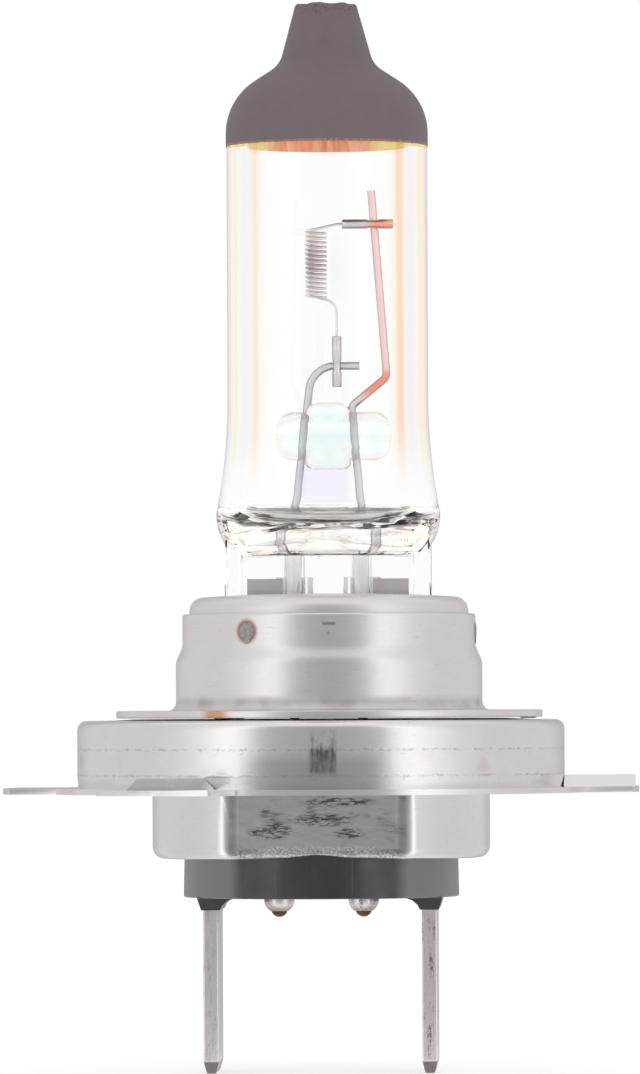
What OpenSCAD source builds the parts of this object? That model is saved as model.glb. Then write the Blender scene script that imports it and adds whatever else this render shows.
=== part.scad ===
// Halogen headlight bulb: a sealed glass capsule with one axial filament, held by two nested
// metal sleeves on a 26 mm prefocus ring, a lug plate with three bosses, and two contact blades.
// Origin: on the ring's axis, in the reference plane that the tops of the three bosses make.
// +Z points to the glass tip, +X to the first boss, -Y to the viewer. Sizes are in millimetres.

/* [Glass capsule] */
// Outer diameter of the tube
tube_d = 10.72; // [10:0.01:13]
// Wall thickness of the tube
glass_wall = 1; // [0.8:0.05:1.2]
// Diameter of the swelling above the flat seal
bulge_d = 11.96; // [11.9:0.01:15]
// Height of the widest part of the swelling
bulge_z = 14; // [13:0.1:14.5]
// Height where the tube begins to swell
flare_z = 20.2; // [19:0.1:22]
// Height where the tube begins to round over into the shoulder
shoulder_z = 34.3; // [32:0.1:36]
// Diameter at the foot of the sealed tip
tip_foot_d = 4.6; // [4:0.1:5]
// Diameter at the end of the sealed tip
tip_end_d = 3.2; // [2.6:0.1:3.6]
// Height of the end of the sealed tip
tip_z = 41.2; // [40:0.1:45]
// Height of the lower edge of the black coat
coat_z = 33.6; // [31:0.1:34]
// Thickness of the black coat
coat_t = 0.04; // [0.03:0.01:0.08]

/* [Flat seal] */
// Width of the flat seal across its two side ribs
seal_w = 10.95; // [10.4:0.05:12.5]
// Thickness of the web between the ribs
web_t = 2.4; // [2.2:0.1:2.8]
// Width of each side rib
rib_w = 0.9; // [0.6:0.05:1.2]
// Thickness of each side rib
rib_t = 3.6; // [3.2:0.1:4.2]
// Width of the raised block in the middle
block_w = 2.3; // [1.8:0.1:2.6]
// Height of the seal's lower end
seal_bottom_z = 4.6; // [4.2:0.1:5]

/* [Filament] */
// Outer diameter of the coil
coil_d = 1.2; // [1:0.05:1.6]
// Length of the coil
coil_len = 3.8; // [3.5:0.1:4.6]
// Number of turns
coil_turns = 15; // [11:1:17]
// Diameter of the tungsten wire
filament_d = 0.14; // [0.1:0.01:0.16]
// Height of the middle of the coil, the light centre
light_z = 27.3; // [26.5:0.1:28.5]
// Distance of the coil from the capsule's axis, towards -X
coil_offset = 0.6; // [0.3:0.05:0.8]

/* [Leads] */
// Diameter of the two inner support leads
lead_d = 0.42; // [0.36:0.01:0.5]
// Diameter of the two outer leads
outer_lead_d = 0.5; // [0.4:0.01:0.56]
// Distance of each lead from the capsule's axis where it enters the seal
lead_x = 1.8; // [1.7:0.05:2]
// Outer diameter of the two crimp tubes
crimp_d = 0.5; // [0.46:0.01:0.56]
// Length of the two crimp tubes
crimp_len = 2.7; // [2.3:0.1:3.1]
// Width of each sealing foil
foil_w = 2; // [1.6:0.1:2.2]
// Length of each sealing foil
foil_len = 5; // [4:0.1:5.2]
// Thickness of each sealing foil
foil_t = 0.05; // [0.04:0.01:0.08]

/* [Glass bridge] */
// Height of the bridge's middle
bridge_z = 18.1; // [17.6:0.1:18.4]
// Diameter of the cross rod
rod_d = 2.62; // [2:0.02:2.8]
// Length of the cross rod
rod_len = 6.15; // [5:0.05:6.6]
// Diameter of the upright barrel
barrel_d = 2.4; // [1.8:0.1:2.8]
// Height of the upright barrel
barrel_h = 3.6; // [3:0.1:3.8]

/* [Sleeves] */
// Sheet thickness of the sleeves, the collar and the seal clip
sleeve_sheet = 0.3; // [0.25:0.01:0.36]
// Outer diameter of the inner sleeve
sleeve_d = 14.9; // [14.4:0.1:18]
// Height of the inner sleeve's top
sleeve_top_z = 9.7; // [9.4:0.1:10.2]
// Height of the inner sleeve's lower edge
sleeve_bottom_z = 4.2; // [4:0.1:4.8]
// Gap between the inner sleeve and the collar
sleeve_gap = 0.07; // [0.03:0.01:0.1]
// Height of the collar's top edge
collar_top_z = 8.64; // [8.2:0.05:9.2]
// How far the collar steps out below its upper band
collar_step = 0.36; // [0.2:0.02:0.5]
// Height of the top of the collar's flange
flange_z = 3.5; // [3.4:0.05:4]
// How far the flange's edge stays inside the ring's edge
flange_inset = 1.63; // [1:0.01:2]
// Sideways shift that puts the coil on the ring's axis
burner_shift = 0.45; // [0:0.05:0.6]

/* [Base] */
// Outer diameter of the prefocus ring
ring_d = 26; // [24:0.1:32]
// Height of the ring's top
ring_top_z = 3.05; // [2.8:0.05:3.1]
// Sheet thickness of the ring
ring_sheet = 0.35; // [0.3:0.01:0.4]
// Sheet thickness of the lug plate
plate_t = 0.3; // [0.25:0.01:0.4]
// Height of the bosses above the lug plate
boss_h = 0.6; // [0.5:0.05:0.8]
// Width of each boss along its top
boss_top_w = 1.7; // [1.4:0.1:2.2]
// Width of each boss at its foot
boss_foot_w = 3.05; // [2.8:0.05:3.6]
// Reach of the lugs and the tab beyond the ring
lug_reach = 4; // [3:0.1:5]
// Width of the plate's rim beyond the ring
rim_w = 1.6; // [1:0.1:2.4]
// Width of the three lugs
lug_w = 7; // [5:0.1:9]
// Width of the location tab opposite the first lug
tab_w = 9; // [6:0.1:11]
// Outer diameter of the skirt
skirt_d = 18; // [17:0.1:21.6]
// Distance of the skirt's two flats from the axis
skirt_flat = 7.5; // [7.45:0.05:8]
// Height of the skirt's lower end
skirt_bottom_z = -4.36; // [-5.4:0.02:-4.2]

/* [Contacts] */
// Diameter of the insulator where it shows below the skirt
insulator_d = 14.7; // [14:0.05:14.8]
// How far the insulator shows below the skirt
insulator_drop = 2.07; // [1.8:0.01:2.6]
// Thickness of each contact blade
blade_t = 0.8; // [0.7:0.01:0.96]
// Width of each contact blade
blade_w = 6.3; // [5:0.1:7]
// Length of each contact blade below the insulator
blade_len = 9.33; // [7.5:0.01:11.5]
// Distance between the two blades' middles
blade_pitch = 11.6; // [11:0.1:12.4]
// Distance between the two weld cups' middles
cup_pitch = 4.5; // [4:0.1:5.4]
// Outer diameter of each weld cup
cup_d = 1.65; // [1.5:0.05:1.9]

/* [Hidden] */

$fn = 96;

// Finishes
quartz = [0.93, 0.95, 0.96, 0.4];
coat_black = [0.36, 0.33, 0.33];
tungsten = [0.55, 0.53, 0.53];
molybdenum = [0.68, 0.68, 0.7];
steel = [0.8, 0.79, 0.78];
weld_grey = [0.62, 0.58, 0.56];
slate = [0.27, 0.28, 0.31];
nickel = [0.75, 0.74, 0.73];
bead_brown = [0.55, 0.42, 0.36];

// Glass: derived
tube_r = tube_d / 2;
bore_r = tube_r - glass_wall;
bulge_r = bulge_d / 2;
dome_r = 3.3;
dome_turn = 57;
neck_r = 1.5;
tip_lean = 12;
tip_round = 0.18;
heel_w = 1.5;
heel_h = 2.3;
floor_z = bulge_z - 0.7;
floor_w = 1.6;
floor_h = 1.1;
channel_r = 0.5;
channel_len = 1;
arc_steps = 10;

// Bosses and welds stand at these angles
lug_angles = [0, 120, 240];
weld_turn = -2;

// Leads: derived. Distances along X are from the capsule's axis.
lead_r = lead_d / 2;
outer_lead_r = outer_lead_d / 2;
foil_top_z = seal_bottom_z + 1 + foil_len;
foil_lap = 1;
lead_foot_z = foil_top_z - foil_lap;
outer_top_z = foil_top_z - foil_len + foil_lap;
column_r = 0.5;
long_x = bore_r - 1.18;
hook_z = light_z - 5.43;
hook_end_x = 1.7;
hook_bend_r = 1.4;
lead_bend_r = 0.5;
long_top_z = light_z + 3.9;
long_knee_z = hook_z - 0.6;
long_waist_x = 1.25;
long_waist_z = bridge_z + rod_d / 2 + 0.3;
floor_bend_z = floor_z + 0.5;

// Crimp tubes: each lies in front of its lead and is pressed onto it
crimp_r = crimp_d / 2;
crimp_y = -0.36;
upper_crimp_z = light_z + 2.12;
crimp_wall_gap = 0.86;
upper_crimp_x = bore_r - crimp_wall_gap - crimp_len;
lower_crimp_x = 0.5;
lower_crimp_z = hook_z + 0.22;
crimp_bore_r = filament_d / 2 + 0.01;
crimp_waist_r = crimp_r - 0.05;
waist_half = 0.35;

// Sleeves: derived
sleeve_r = sleeve_d / 2;
sleeve_in_r = sleeve_r - sleeve_sheet;
collar_in_r = sleeve_r + sleeve_gap;
collar_r = collar_in_r + sleeve_sheet;
collar_low_r = collar_r + collar_step;
flange_r = ring_d / 2 - flange_inset;
press_r = 0.45;
clip_slack = 0.1;
slot_slack = 0.3;
clip_z = sleeve_bottom_z + 0.7;
tongue_top_z = sleeve_top_z + 0.8;
tongue_w = 1.9;
sleeve_weld_z = 7.68;
sleeve_weld_d = 0.9;
weld_proud = 0.05;
flange_weld_d = 0.9;
flange_weld_r = flange_r - 0.75;

// Base: derived
ring_r = ring_d / 2;
ring_hole_r = collar_low_r - sleeve_sheet;
ring_foot_z = -boss_h;
ring_foot_relief = 0.07;
rim_r = ring_r + rim_w;
lug_r = ring_r + lug_reach;
boss_gap = 0.05;
plate_z = -boss_h;
plate_low_z = plate_z - plate_t;
skirt_r = skirt_d / 2;
skirt_in_r = skirt_r - plate_t;
skirt_flat_in = skirt_flat - plate_t;
insulator_r = insulator_d / 2;
insulator_fit = 0.05;
insulator_top_z = plate_low_z - 0.4;
insulator_low_z = skirt_bottom_z - insulator_drop;
lip_z = skirt_bottom_z + plate_t;

// Contacts: derived
blade_x = blade_pitch / 2;
cup_x = cup_pitch / 2;
cup_r = cup_d / 2;
foot_top_z = insulator_low_z + 1.8;
foot_t = blade_t;
foot_w = 3.2;
blade_low_z = insulator_low_z - blade_len;
point_len = 0.65;
point_t = 0.5;
corner_cut = 1;
root_w = 1.9;
root_end_w = 1.05;
root_h = 0.65;
root_margin = 0.35;
cup_drop = 0.75;
cup_round = 0.45;
bead_r = 0.52;
bead_depth = 0.45;
bead_bulge = 0.2;
lead_way_r = outer_lead_r + 0.05;
shaft_r = 1.3;
overcut = 0.1;

// ---- Helpers ----------------------------------------------------------------

// Points on an arc
function arc(centre, r, from, to, steps = arc_steps) =
    [for (i = [0 : steps]) let (a = from + (to - from) * i / steps)
        centre + r * [cos(a), sin(a)]];

// Points on a quarter of an ellipse, from its side to its bottom
function heel(centre, a, b) =
    [for (i = [0 : arc_steps]) let (t = 90 * i / arc_steps) centre + [a * cos(t), -b * sin(t)]];

function unit(v) = v / norm(v);

// Arc that rounds the corner b between a and c, or b alone where the path runs straight on
function fillet(a, b, c, r, steps) =
    let (u = unit(a - b), v = unit(c - b), half = acos(u * v) / 2)
    norm(u + v) < 0.001 ? [b] :
    let (centre = b + unit(u + v) * r / sin(half), out = unit(b + u * r / tan(half) - centre))
    [for (i = [0 : steps]) let (t = (180 - 2 * half) * i / steps)
        centre + r * (cos(t) * out - sin(t) * u)];

// Path through the corners, each inner corner rounded to its own radius
function rounded_path(corners, radii, steps = 6) =
    [corners[0],
     for (i = [1 : len(corners) - 2])
        each fillet(corners[i - 1], corners[i], corners[i + 1], radii[i - 1], steps),
     corners[len(corners) - 1]];

function tangent(path, i) = unit(path[min(i + 1, len(path) - 1)] - path[max(i - 1, 0)]);

// Part of n that is square to t
function carried(n, t) = unit(n - t * (n * t));

// One normal for each point, carried along the path without twist
function normals(path, first) =
    [for (i = 0, n = carried(first, tangent(path, 0)); i < len(path);
        i = i + 1, n = carried(n, tangent(path, min(i, len(path) - 1)))) n];

// Round wire swept along a path
module wire(path, d, sides = 12, first = [0, 1, 0]) {
    side = normals(path, first);
    count = len(path);
    points = [for (i = [0 : count - 1], k = [0 : sides - 1])
        let (up = cross(tangent(path, i), side[i]), a = 360 * k / sides)
        path[i] + d / 2 * (cos(a) * side[i] + sin(a) * up)];
    polyhedron(points, [
        [for (k = [0 : sides - 1]) k],
        for (i = [0 : count - 2], k = [0 : sides - 1])
            [i * sides + k, (i + 1) * sides + k,
             (i + 1) * sides + (k + 1) % sides, i * sides + (k + 1) % sides],
        [for (k = [sides - 1 : -1 : 0]) (count - 1) * sides + k]]);
}

// Straight round rod between two points
module rod(a, b, r) {
    v = b - a;
    translate(a)
        rotate([0, acos(v[2] / norm(v)), atan2(v[1], v[0])])
            cylinder(h = norm(v), r = r);
}

// Places what belongs to the capsule and its sleeves
module on_burner() {
    translate([burner_shift, 0, 0]) children();
}

// ---- Glass capsule ----------------------------------------------------------

// Outline of the shoulder and tip, from the tube up to the axis, grown outwards by extra
function shoulder_outline(extra) =
    let (r1 = tube_r - dome_r + dome_r * cos(dome_turn),
        z1 = shoulder_z + dome_r * sin(dome_turn),
        r2 = tip_foot_d / 2 + neck_r * (cos(tip_lean) - cos(dome_turn)),
        z2 = z1 + (r1 - r2) / tan(dome_turn),
        neck = [r2 + neck_r * cos(dome_turn), z2 + neck_r * sin(dome_turn)],
        end = [tip_end_d / 2 + extra - tip_round, tip_z + extra - tip_round])
    concat(
        arc([tube_r - dome_r, shoulder_z], dome_r + extra, 0, dome_turn),
        arc(neck, neck_r - extra, 180 + dome_turn, 180 + tip_lean),
        arc(end, tip_round, 15, 90, 4),
        [[0, tip_z + extra]]);

// Radius of the swelling tube at a height between bulge_z and flare_z
function swell_r(z) =
    tube_r + (bulge_r - tube_r) * pow((flare_z - z) / (flare_z - bulge_z), 2);

function swell_heights() =
    [for (i = [0 : arc_steps]) bulge_z + (flare_z - bulge_z) * i / arc_steps];

module glass_body() {
    heel_points = heel([bulge_r - heel_w, bulge_z], heel_w, heel_h);
    rotate_extrude()
        polygon(concat(
            [[0, bulge_z - heel_h]],
            [for (i = [arc_steps : -1 : 1]) heel_points[i]],
            [for (z = swell_heights()) [swell_r(z), z]],
            shoulder_outline(0)));
}

module glass_bore() {
    r_floor = swell_r(bulge_z) - glass_wall;
    floor_points = heel([r_floor - floor_w, floor_z + floor_h], floor_w, floor_h);
    dome_in_r = dome_r - glass_wall;
    r_slope = bore_r - dome_in_r + dome_in_r * cos(dome_turn);
    z_slope = shoulder_z + dome_in_r * sin(dome_turn);
    z_channel = z_slope + (r_slope - channel_r) / tan(dome_turn);
    rotate_extrude()
        polygon(concat(
            [[0, floor_z]],
            [for (i = [arc_steps : -1 : 1]) floor_points[i]],
            [for (z = swell_heights()) if (z > floor_z + floor_h) [swell_r(z) - glass_wall, z]],
            arc([bore_r - dome_in_r, shoulder_z], dome_in_r, 0, dome_turn),
            [[channel_r, z_channel], [channel_r / 2, z_channel + channel_len],
             [0, z_channel + channel_len]]));
}

// Cross-section of the flat seal, grown by slack on every side
module seal_section(slack = 0) {
    square([seal_w + 2 * slack, web_t + 2 * slack], center = true);
    square([block_w + 2 * slack, rib_t - 0.5 + 2 * slack], center = true);
    for (s = [-1, 1]) {
        translate([s * (seal_w - rib_w) / 2, 0])
            square([rib_w + 2 * slack, rib_t + 2 * slack], center = true);
        for (t = [-1, 1])
            translate([s * lead_x, t * web_t / 2])
                circle(column_r + slack, $fn = 24);
    }
}

module glass_envelope() {
    color(quartz) on_burner() difference() {
        union() {
            glass_body();
            translate([0, 0, seal_bottom_z])
                linear_extrude(bulge_z - heel_h + 0.2 - seal_bottom_z) seal_section();
        }
        glass_bore();
        for (s = [-1, 1]) translate([s * lead_x, 0, 0]) {
            translate([0, 0, lead_foot_z]) cylinder(h = floor_z + 1 - lead_foot_z, r = lead_r);
            translate([0, 0, seal_bottom_z - 1])
                cylinder(h = outer_top_z - seal_bottom_z + 1, r = outer_lead_r);
            translate([-foil_w / 2, -foil_t / 2, foil_top_z - foil_len])
                cube([foil_w, foil_t, foil_len]);
        }
    }
}

module anti_glare_coat() {
    color(coat_black) on_burner() difference() {
        rotate_extrude()
            polygon(concat([[0, coat_z], [tube_r + coat_t, coat_z]], shoulder_outline(coat_t)));
        glass_body();
        translate([0, 0, coat_z - 1]) cylinder(h = shoulder_z - coat_z + 1, r = tube_r);
    }
}

// ---- Filament, leads and seal -------------------------------------------------

coil_mean_r = (coil_d - filament_d) / 2;
coil_start = -90;

function coil_point(i, steps) =
    let (a = coil_start - 360 * i / steps)
    [-coil_offset + coil_mean_r * cos(a), coil_mean_r * sin(a),
     light_z + coil_len / 2 - filament_d / 2 - (coil_len - filament_d) * i / (steps * coil_turns)];

module filament() {
    steps = 12;
    top = coil_point(0, steps);
    low = coil_point(steps * coil_turns, steps);
    leg_x = lower_crimp_x + 0.04;
    low_leg = rounded_path([low + [0.1, 0, 0], [leg_x, crimp_y, low[2] - 0.15],
        [leg_x - 0.04, crimp_y, lower_crimp_z]], [0.75]);
    path = concat(
        [[upper_crimp_x + crimp_len / 2, crimp_y, upper_crimp_z],
         [upper_crimp_x, crimp_y, upper_crimp_z],
         top + [0.35, 0.02, 0.03]],
        [for (i = [1 : steps * coil_turns - 1]) coil_point(i, steps)],
        low_leg);
    color(tungsten) on_burner() wire(path, filament_d, sides = 6, first = [0, 0, 1]);
}

// Crimp tube along its own Z, with a waist where it grips the lead
module crimp_tube(waist_z) {
    difference() {
        rotate_extrude($fn = 32)
            polygon([[0, 0], [crimp_r, 0], [crimp_r, waist_z - waist_half],
                [crimp_waist_r, waist_z - waist_half / 2], [crimp_waist_r, waist_z + waist_half / 2],
                [crimp_r, waist_z + waist_half], [crimp_r, crimp_len], [0, crimp_len]]);
        translate([0, 0, -overcut]) cylinder(h = crimp_len + 2 * overcut, r = crimp_bore_r, $fn = 24);
    }
}

long_corners = [
    [long_x - 0.8, 0, long_top_z],
    [long_x, 0, long_knee_z],
    [long_waist_x, 0, long_waist_z],
    [lead_x, 0, floor_bend_z],
    [lead_x, 0, lead_foot_z]];

short_corners = [
    [hook_end_x, 0, hook_z],
    [-0.85, 0, hook_z],
    [-lead_x, 0, floor_bend_z],
    [-lead_x, 0, lead_foot_z]];

module upper_crimp_tube() {
    color(molybdenum) on_burner() difference() {
        translate([upper_crimp_x, crimp_y, upper_crimp_z]) rotate([0, 90, 0])
            crimp_tube(long_cross_x() - upper_crimp_x);
        rod(long_corners[0], long_corners[1], lead_r);
    }
}

// Where the long lead passes the upper crimp tube
function long_cross_x() =
    let (a = long_corners[0], b = long_corners[1])
    a[0] + (b[0] - a[0]) * (a[2] - upper_crimp_z) / (a[2] - b[2]);

module lower_crimp_tube() {
    color(molybdenum) on_burner() difference() {
        translate([lower_crimp_x, crimp_y, lower_crimp_z - crimp_len / 2])
            crimp_tube(crimp_len / 2 + hook_z - lower_crimp_z);
        rod(short_corners[0], short_corners[1], lead_r);
    }
}

module long_lead() {
    color(molybdenum) on_burner()
        wire(rounded_path(long_corners, [lead_bend_r, lead_bend_r, lead_bend_r]), lead_d);
}

module short_lead() {
    color(molybdenum) on_burner()
        wire(rounded_path(short_corners, [hook_bend_r, lead_bend_r]), lead_d);
}

module glass_bridge() {
    end_r = 0.9;
    side = rod_d / 2 - end_r;
    color(quartz) on_burner() difference() {
        union() {
            translate([0.3, 0, bridge_z]) rotate([0, 90, 0]) rotate_extrude($fn = 64)
                polygon(concat([[0, -rod_len / 2]],
                    arc([side, end_r - rod_len / 2], end_r, -90, 0),
                    arc([side, rod_len / 2 - end_r], end_r, 0, 90),
                    [[0, rod_len / 2]]));
            translate([0, 0, bridge_z]) rotate_extrude($fn = 64)
                polygon(concat([[0, -barrel_h / 2]],
                    arc([barrel_d / 2 - 0.7, 0.7 - barrel_h / 2], 0.7, -90, 0),
                    arc([barrel_d / 2 - 0.7, barrel_h / 2 - 0.7], 0.7, 0, 90),
                    [[0, barrel_h / 2]]));
        }
        lead_ways();
    }
}

// Straight stretches of both leads where they pass the bridge, drawn long at the upper end
module lead_ways() {
    for (ends = [[long_corners[3], long_corners[2]], [short_corners[2], short_corners[1]]])
        rod(ends[0], ends[1] + 0.1 * (ends[1] - ends[0]), lead_r);
}

module foil(s) {
    color(molybdenum) on_burner() difference() {
        translate([s * lead_x - foil_w / 2, -foil_t / 2, foil_top_z - foil_len])
            cube([foil_w, foil_t, foil_len]);
        translate([s * lead_x, 0, lead_foot_z]) cylinder(h = foil_lap + 1, r = lead_r);
        translate([s * lead_x, 0, outer_top_z - foil_lap - 1])
            cylinder(h = foil_lap + 1, r = outer_lead_r);
    }
}

module foil_left() { foil(-1); }
module foil_right() { foil(1); }

module outer_lead(s) {
    top_x = burner_shift + s * lead_x;
    color(molybdenum)
        wire(rounded_path([[top_x, 0, outer_top_z], [top_x, 0, seal_bottom_z - 1.2],
            [s * cup_x, 0, foot_top_z + 1.2], [s * cup_x, 0, cup_mouth_z() + bead_depth]],
            [1, 1], 4), outer_lead_d);
}

module outer_lead_left() { outer_lead(-1); }
module outer_lead_right() { outer_lead(1); }

// ---- Sleeves ------------------------------------------------------------------

module seal_clip() {
    tongue_x = lead_x + column_r + clip_slack;
    color(steel) on_burner() {
        difference() {
            translate([0, 0, clip_z]) cylinder(h = sleeve_sheet, r = sleeve_in_r);
            translate([0, 0, clip_z - overcut])
                linear_extrude(sleeve_sheet + 2 * overcut) seal_section(clip_slack);
        }
        for (s = [-1, 1], t = [-1, 1])
            translate([s * (tongue_x + tongue_w / 2), t * (web_t + sleeve_sheet) / 2,
                    (clip_z + tongue_top_z) / 2])
                cube([tongue_w, sleeve_sheet, tongue_top_z - clip_z], center = true);
    }
}

module inner_sleeve() {
    color(steel) on_burner() difference() {
        rotate_extrude()
            polygon(concat(
                [[0, sleeve_top_z - sleeve_sheet]],
                arc([sleeve_r - press_r, sleeve_top_z - press_r], press_r - sleeve_sheet, 90, 0),
                [[sleeve_in_r, sleeve_bottom_z], [sleeve_r, sleeve_bottom_z]],
                arc([sleeve_r - press_r, sleeve_top_z - press_r], press_r, 0, 90),
                [[0, sleeve_top_z]]));
        translate([0, 0, sleeve_top_z])
            cube([seal_w + 2 * slot_slack, rib_t + 2 * slot_slack, 2], center = true);
    }
}

// Wall of the collar: its outer face, or its inner face when in is the sheet thickness
function collar_face(in) =
    let (step_z = 6.5, half = 0.55)
    concat(
        [[flange_r, flange_z - in]],
        arc([collar_low_r + press_r, flange_z + press_r], press_r + in, 270, 180),
        [for (i = [0 : arc_steps]) let (t = i / arc_steps)
            [collar_low_r - in - collar_step * (1 - cos(180 * t)) / 2, step_z - half + 2 * half * t]]);

module sleeve_collar() {
    in = sleeve_sheet;
    inner = collar_face(in);
    color(steel) on_burner() difference() {
        rotate_extrude()
            polygon(concat(
                collar_face(0),
                arc([collar_in_r, collar_top_z - in], in, 0, 90, 6),
                [for (i = [len(inner) - 1 : -1 : 0]) inner[i]]));
        for (a = lug_angles) weld_rod(a);
    }
}

// Radial rod that outlines one collar weld
module weld_rod(angle) {
    rotate([0, 0, angle + weld_turn]) translate([sleeve_in_r, 0, sleeve_weld_z]) rotate([0, 90, 0])
        cylinder(h = 2, d = sleeve_weld_d, $fn = 32);
}

module sleeve_welds() {
    color(weld_grey) on_burner() for (a = lug_angles)
        intersection() {
            weld_rod(a);
            difference() {
                translate([0, 0, sleeve_weld_z - 1]) cylinder(h = 2, r = collar_r + weld_proud);
                translate([0, 0, sleeve_weld_z - 2]) cylinder(h = 4, r = sleeve_r);
            }
        }
}

module flange_welds() {
    color(weld_grey) on_burner() for (a = lug_angles)
        rotate([0, 0, a]) translate([flange_weld_r, 0, ring_top_z])
            cylinder(h = flange_z - sleeve_sheet - ring_top_z, d = flange_weld_d, $fn = 32);
}

// ---- Base ---------------------------------------------------------------------

module prefocus_ring() {
    t = ring_sheet;
    color(steel) rotate_extrude()
        polygon(concat(
            [[ring_hole_r, ring_top_z]],
            arc([ring_r - press_r, ring_top_z - press_r], press_r, 90, 0),
            [[ring_r, 0], [ring_r - ring_foot_relief, ring_foot_z],
             [ring_r - t - ring_foot_relief, ring_foot_z]],
            arc([ring_r - press_r - ring_foot_relief, ring_top_z - press_r], press_r - t, 0, 90),
            [[ring_hole_r, ring_top_z - t]]));
}

// Outline of the plate: a rim, three lugs and the location tab
module plate_outline() {
    circle(rim_r);
    intersection() {
        circle(lug_r);
        union() {
            for (a = lug_angles) rotate(a) translate([0, -lug_w / 2]) square([lug_r, lug_w]);
            translate([-lug_r, -tab_w / 2]) square([lug_r, tab_w]);
        }
    }
}

// Boss section, looking along the lug: outer face, or the hollow below when in is the sheet
module boss_section(in) {
    flank = in * 0.45;
    polygon([[-boss_foot_w / 2 + flank, plate_low_z - (in > 0 ? overcut : 0)],
        [-boss_foot_w / 2 + flank, plate_z - in],
        [-boss_top_w / 2 + flank, -in], [boss_top_w / 2 - flank, -in],
        [boss_foot_w / 2 - flank, plate_z - in],
        [boss_foot_w / 2 - flank, plate_low_z - (in > 0 ? overcut : 0)]]);
}

module along_lug(angle, from, to) {
    rotate([0, 0, angle]) translate([from, 0, 0]) rotate([90, 0, 90])
        linear_extrude(to - from) children();
}

// Space inside the skirt, between the two flats
module flatted(r, flat, z, h) {
    intersection() {
        translate([0, 0, z]) cylinder(h = h, r = r);
        translate([-r, -flat, z]) cube([2 * r, 2 * flat, h]);
    }
}

module lug_plate() {
    boss_from = ring_r + boss_gap;
    color(steel) difference() {
        union() {
            translate([0, 0, plate_low_z]) linear_extrude(plate_t) plate_outline();
            intersection() {
                rotate_extrude()
                    polygon(concat([[0, skirt_bottom_z]],
                        arc([skirt_r - press_r, skirt_bottom_z + press_r], press_r, -90, 0),
                        [[skirt_r, plate_z], [0, plate_z]]));
                translate([-skirt_r, -skirt_flat, skirt_bottom_z])
                    cube([skirt_d, 2 * skirt_flat, plate_z - skirt_bottom_z]);
            }
            for (a = lug_angles) along_lug(a, boss_from, lug_r - 0.2) boss_section(0);
        }
        flatted(skirt_in_r, skirt_flat_in, lip_z, 10);
        translate([0, 0, skirt_bottom_z - 1]) cylinder(h = 2, r = insulator_r + insulator_fit);
        for (a = lug_angles) along_lug(a, boss_from + plate_t, lug_r + 1) boss_section(plate_t);
    }
}

// ---- Insulator and contacts ---------------------------------------------------

function cup_mouth_z() = insulator_low_z - cup_drop;

// Four-sided taper standing downwards at the insulator's face
module blade_root(s) {
    end_gap = (root_w - root_end_w) / 2;
    root_y = blade_w / 2 + root_margin;
    translate([s * blade_x, 0, insulator_low_z]) intersection() {
        rotate([90, 0, 0]) linear_extrude(2 * root_y, center = true)
            polygon([[-root_w / 2, overcut], [-root_w / 2, 0], [-root_end_w / 2, -root_h],
                [root_end_w / 2, -root_h], [root_w / 2, 0], [root_w / 2, overcut]]);
        rotate([90, 0, 90]) linear_extrude(root_w, center = true)
            polygon([[-root_y, overcut], [-root_y, 0], [-root_y + end_gap, -root_h],
                [root_y - end_gap, -root_h], [root_y, 0], [root_y, overcut]]);
    }
}

module insulator() {
    color(slate) difference() {
        union() {
            flatted(skirt_in_r - insulator_fit, skirt_flat_in - insulator_fit, lip_z,
                insulator_top_z - lip_z);
            translate([0, 0, insulator_low_z]) cylinder(h = lip_z - insulator_low_z, r = insulator_r);
            for (s = [-1, 1]) blade_root(s);
        }
        for (s = [-1, 1]) {
            contact_solid(s);
            translate([s * cup_x, 0, foot_top_z]) cylinder(h = 10, r = shaft_r);
        }
    }
}

// Blade, foot and weld cup of one contact, without the way for the lead
module contact_solid(s) {
    y = blade_w / 2;
    foot_in = cup_x - cup_r - 0.2;
    intersection() {
        translate([s * blade_x, 0, 0]) rotate([90, 0, 0]) linear_extrude(blade_w, center = true)
            polygon([[-blade_t / 2, foot_top_z], [-blade_t / 2, blade_low_z + point_len],
                [-point_t / 2, blade_low_z], [point_t / 2, blade_low_z],
                [blade_t / 2, blade_low_z + point_len], [blade_t / 2, foot_top_z]]);
        translate([s * blade_x, 0, 0]) rotate([90, 0, 90]) linear_extrude(blade_t + 1, center = true)
            polygon([[-y, foot_top_z + 1], [-y, blade_low_z + corner_cut],
                [-y + corner_cut * 0.6, blade_low_z], [y - corner_cut * 0.6, blade_low_z],
                [y, blade_low_z + corner_cut], [y, foot_top_z + 1]]);
    }
    translate([s * (foot_in + blade_x) / 2, 0, foot_top_z - foot_t / 2])
        cube([blade_x - foot_in, foot_w, foot_t], center = true);
    translate([s * cup_x, 0, 0]) rotate_extrude($fn = 48)
        polygon(concat([[0, cup_mouth_z()]],
            arc([cup_r - cup_round, cup_mouth_z() + cup_round], cup_round, -90, 0, 6),
            [[cup_r, foot_top_z - foot_t / 2], [0, foot_top_z - foot_t / 2]]));
}

module bead(s, bulge) {
    top_z = cup_mouth_z() + bead_depth;
    sphere_r = (bead_r * bead_r + bead_bulge * bead_bulge) / (2 * bead_bulge);
    open = asin(bead_r / sphere_r);
    translate([s * cup_x, 0, 0]) rotate_extrude($fn = 48)
        polygon(concat([[0, top_z]],
            bulge ? arc([0, cup_mouth_z() - bead_bulge + sphere_r], sphere_r, -90, -90 + open, 6)
                : [[0, cup_mouth_z() - overcut], [bead_r, cup_mouth_z() - overcut]],
            [[bead_r, top_z]]));
}

module contact(s) {
    color(nickel) difference() {
        contact_solid(s);
        translate([s * cup_x, 0, cup_mouth_z()]) cylinder(h = 10, r = lead_way_r, $fn = 32);
        bead(s, false);
    }
}

module contact_left() { contact(-1); }
module contact_right() { contact(1); }

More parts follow.
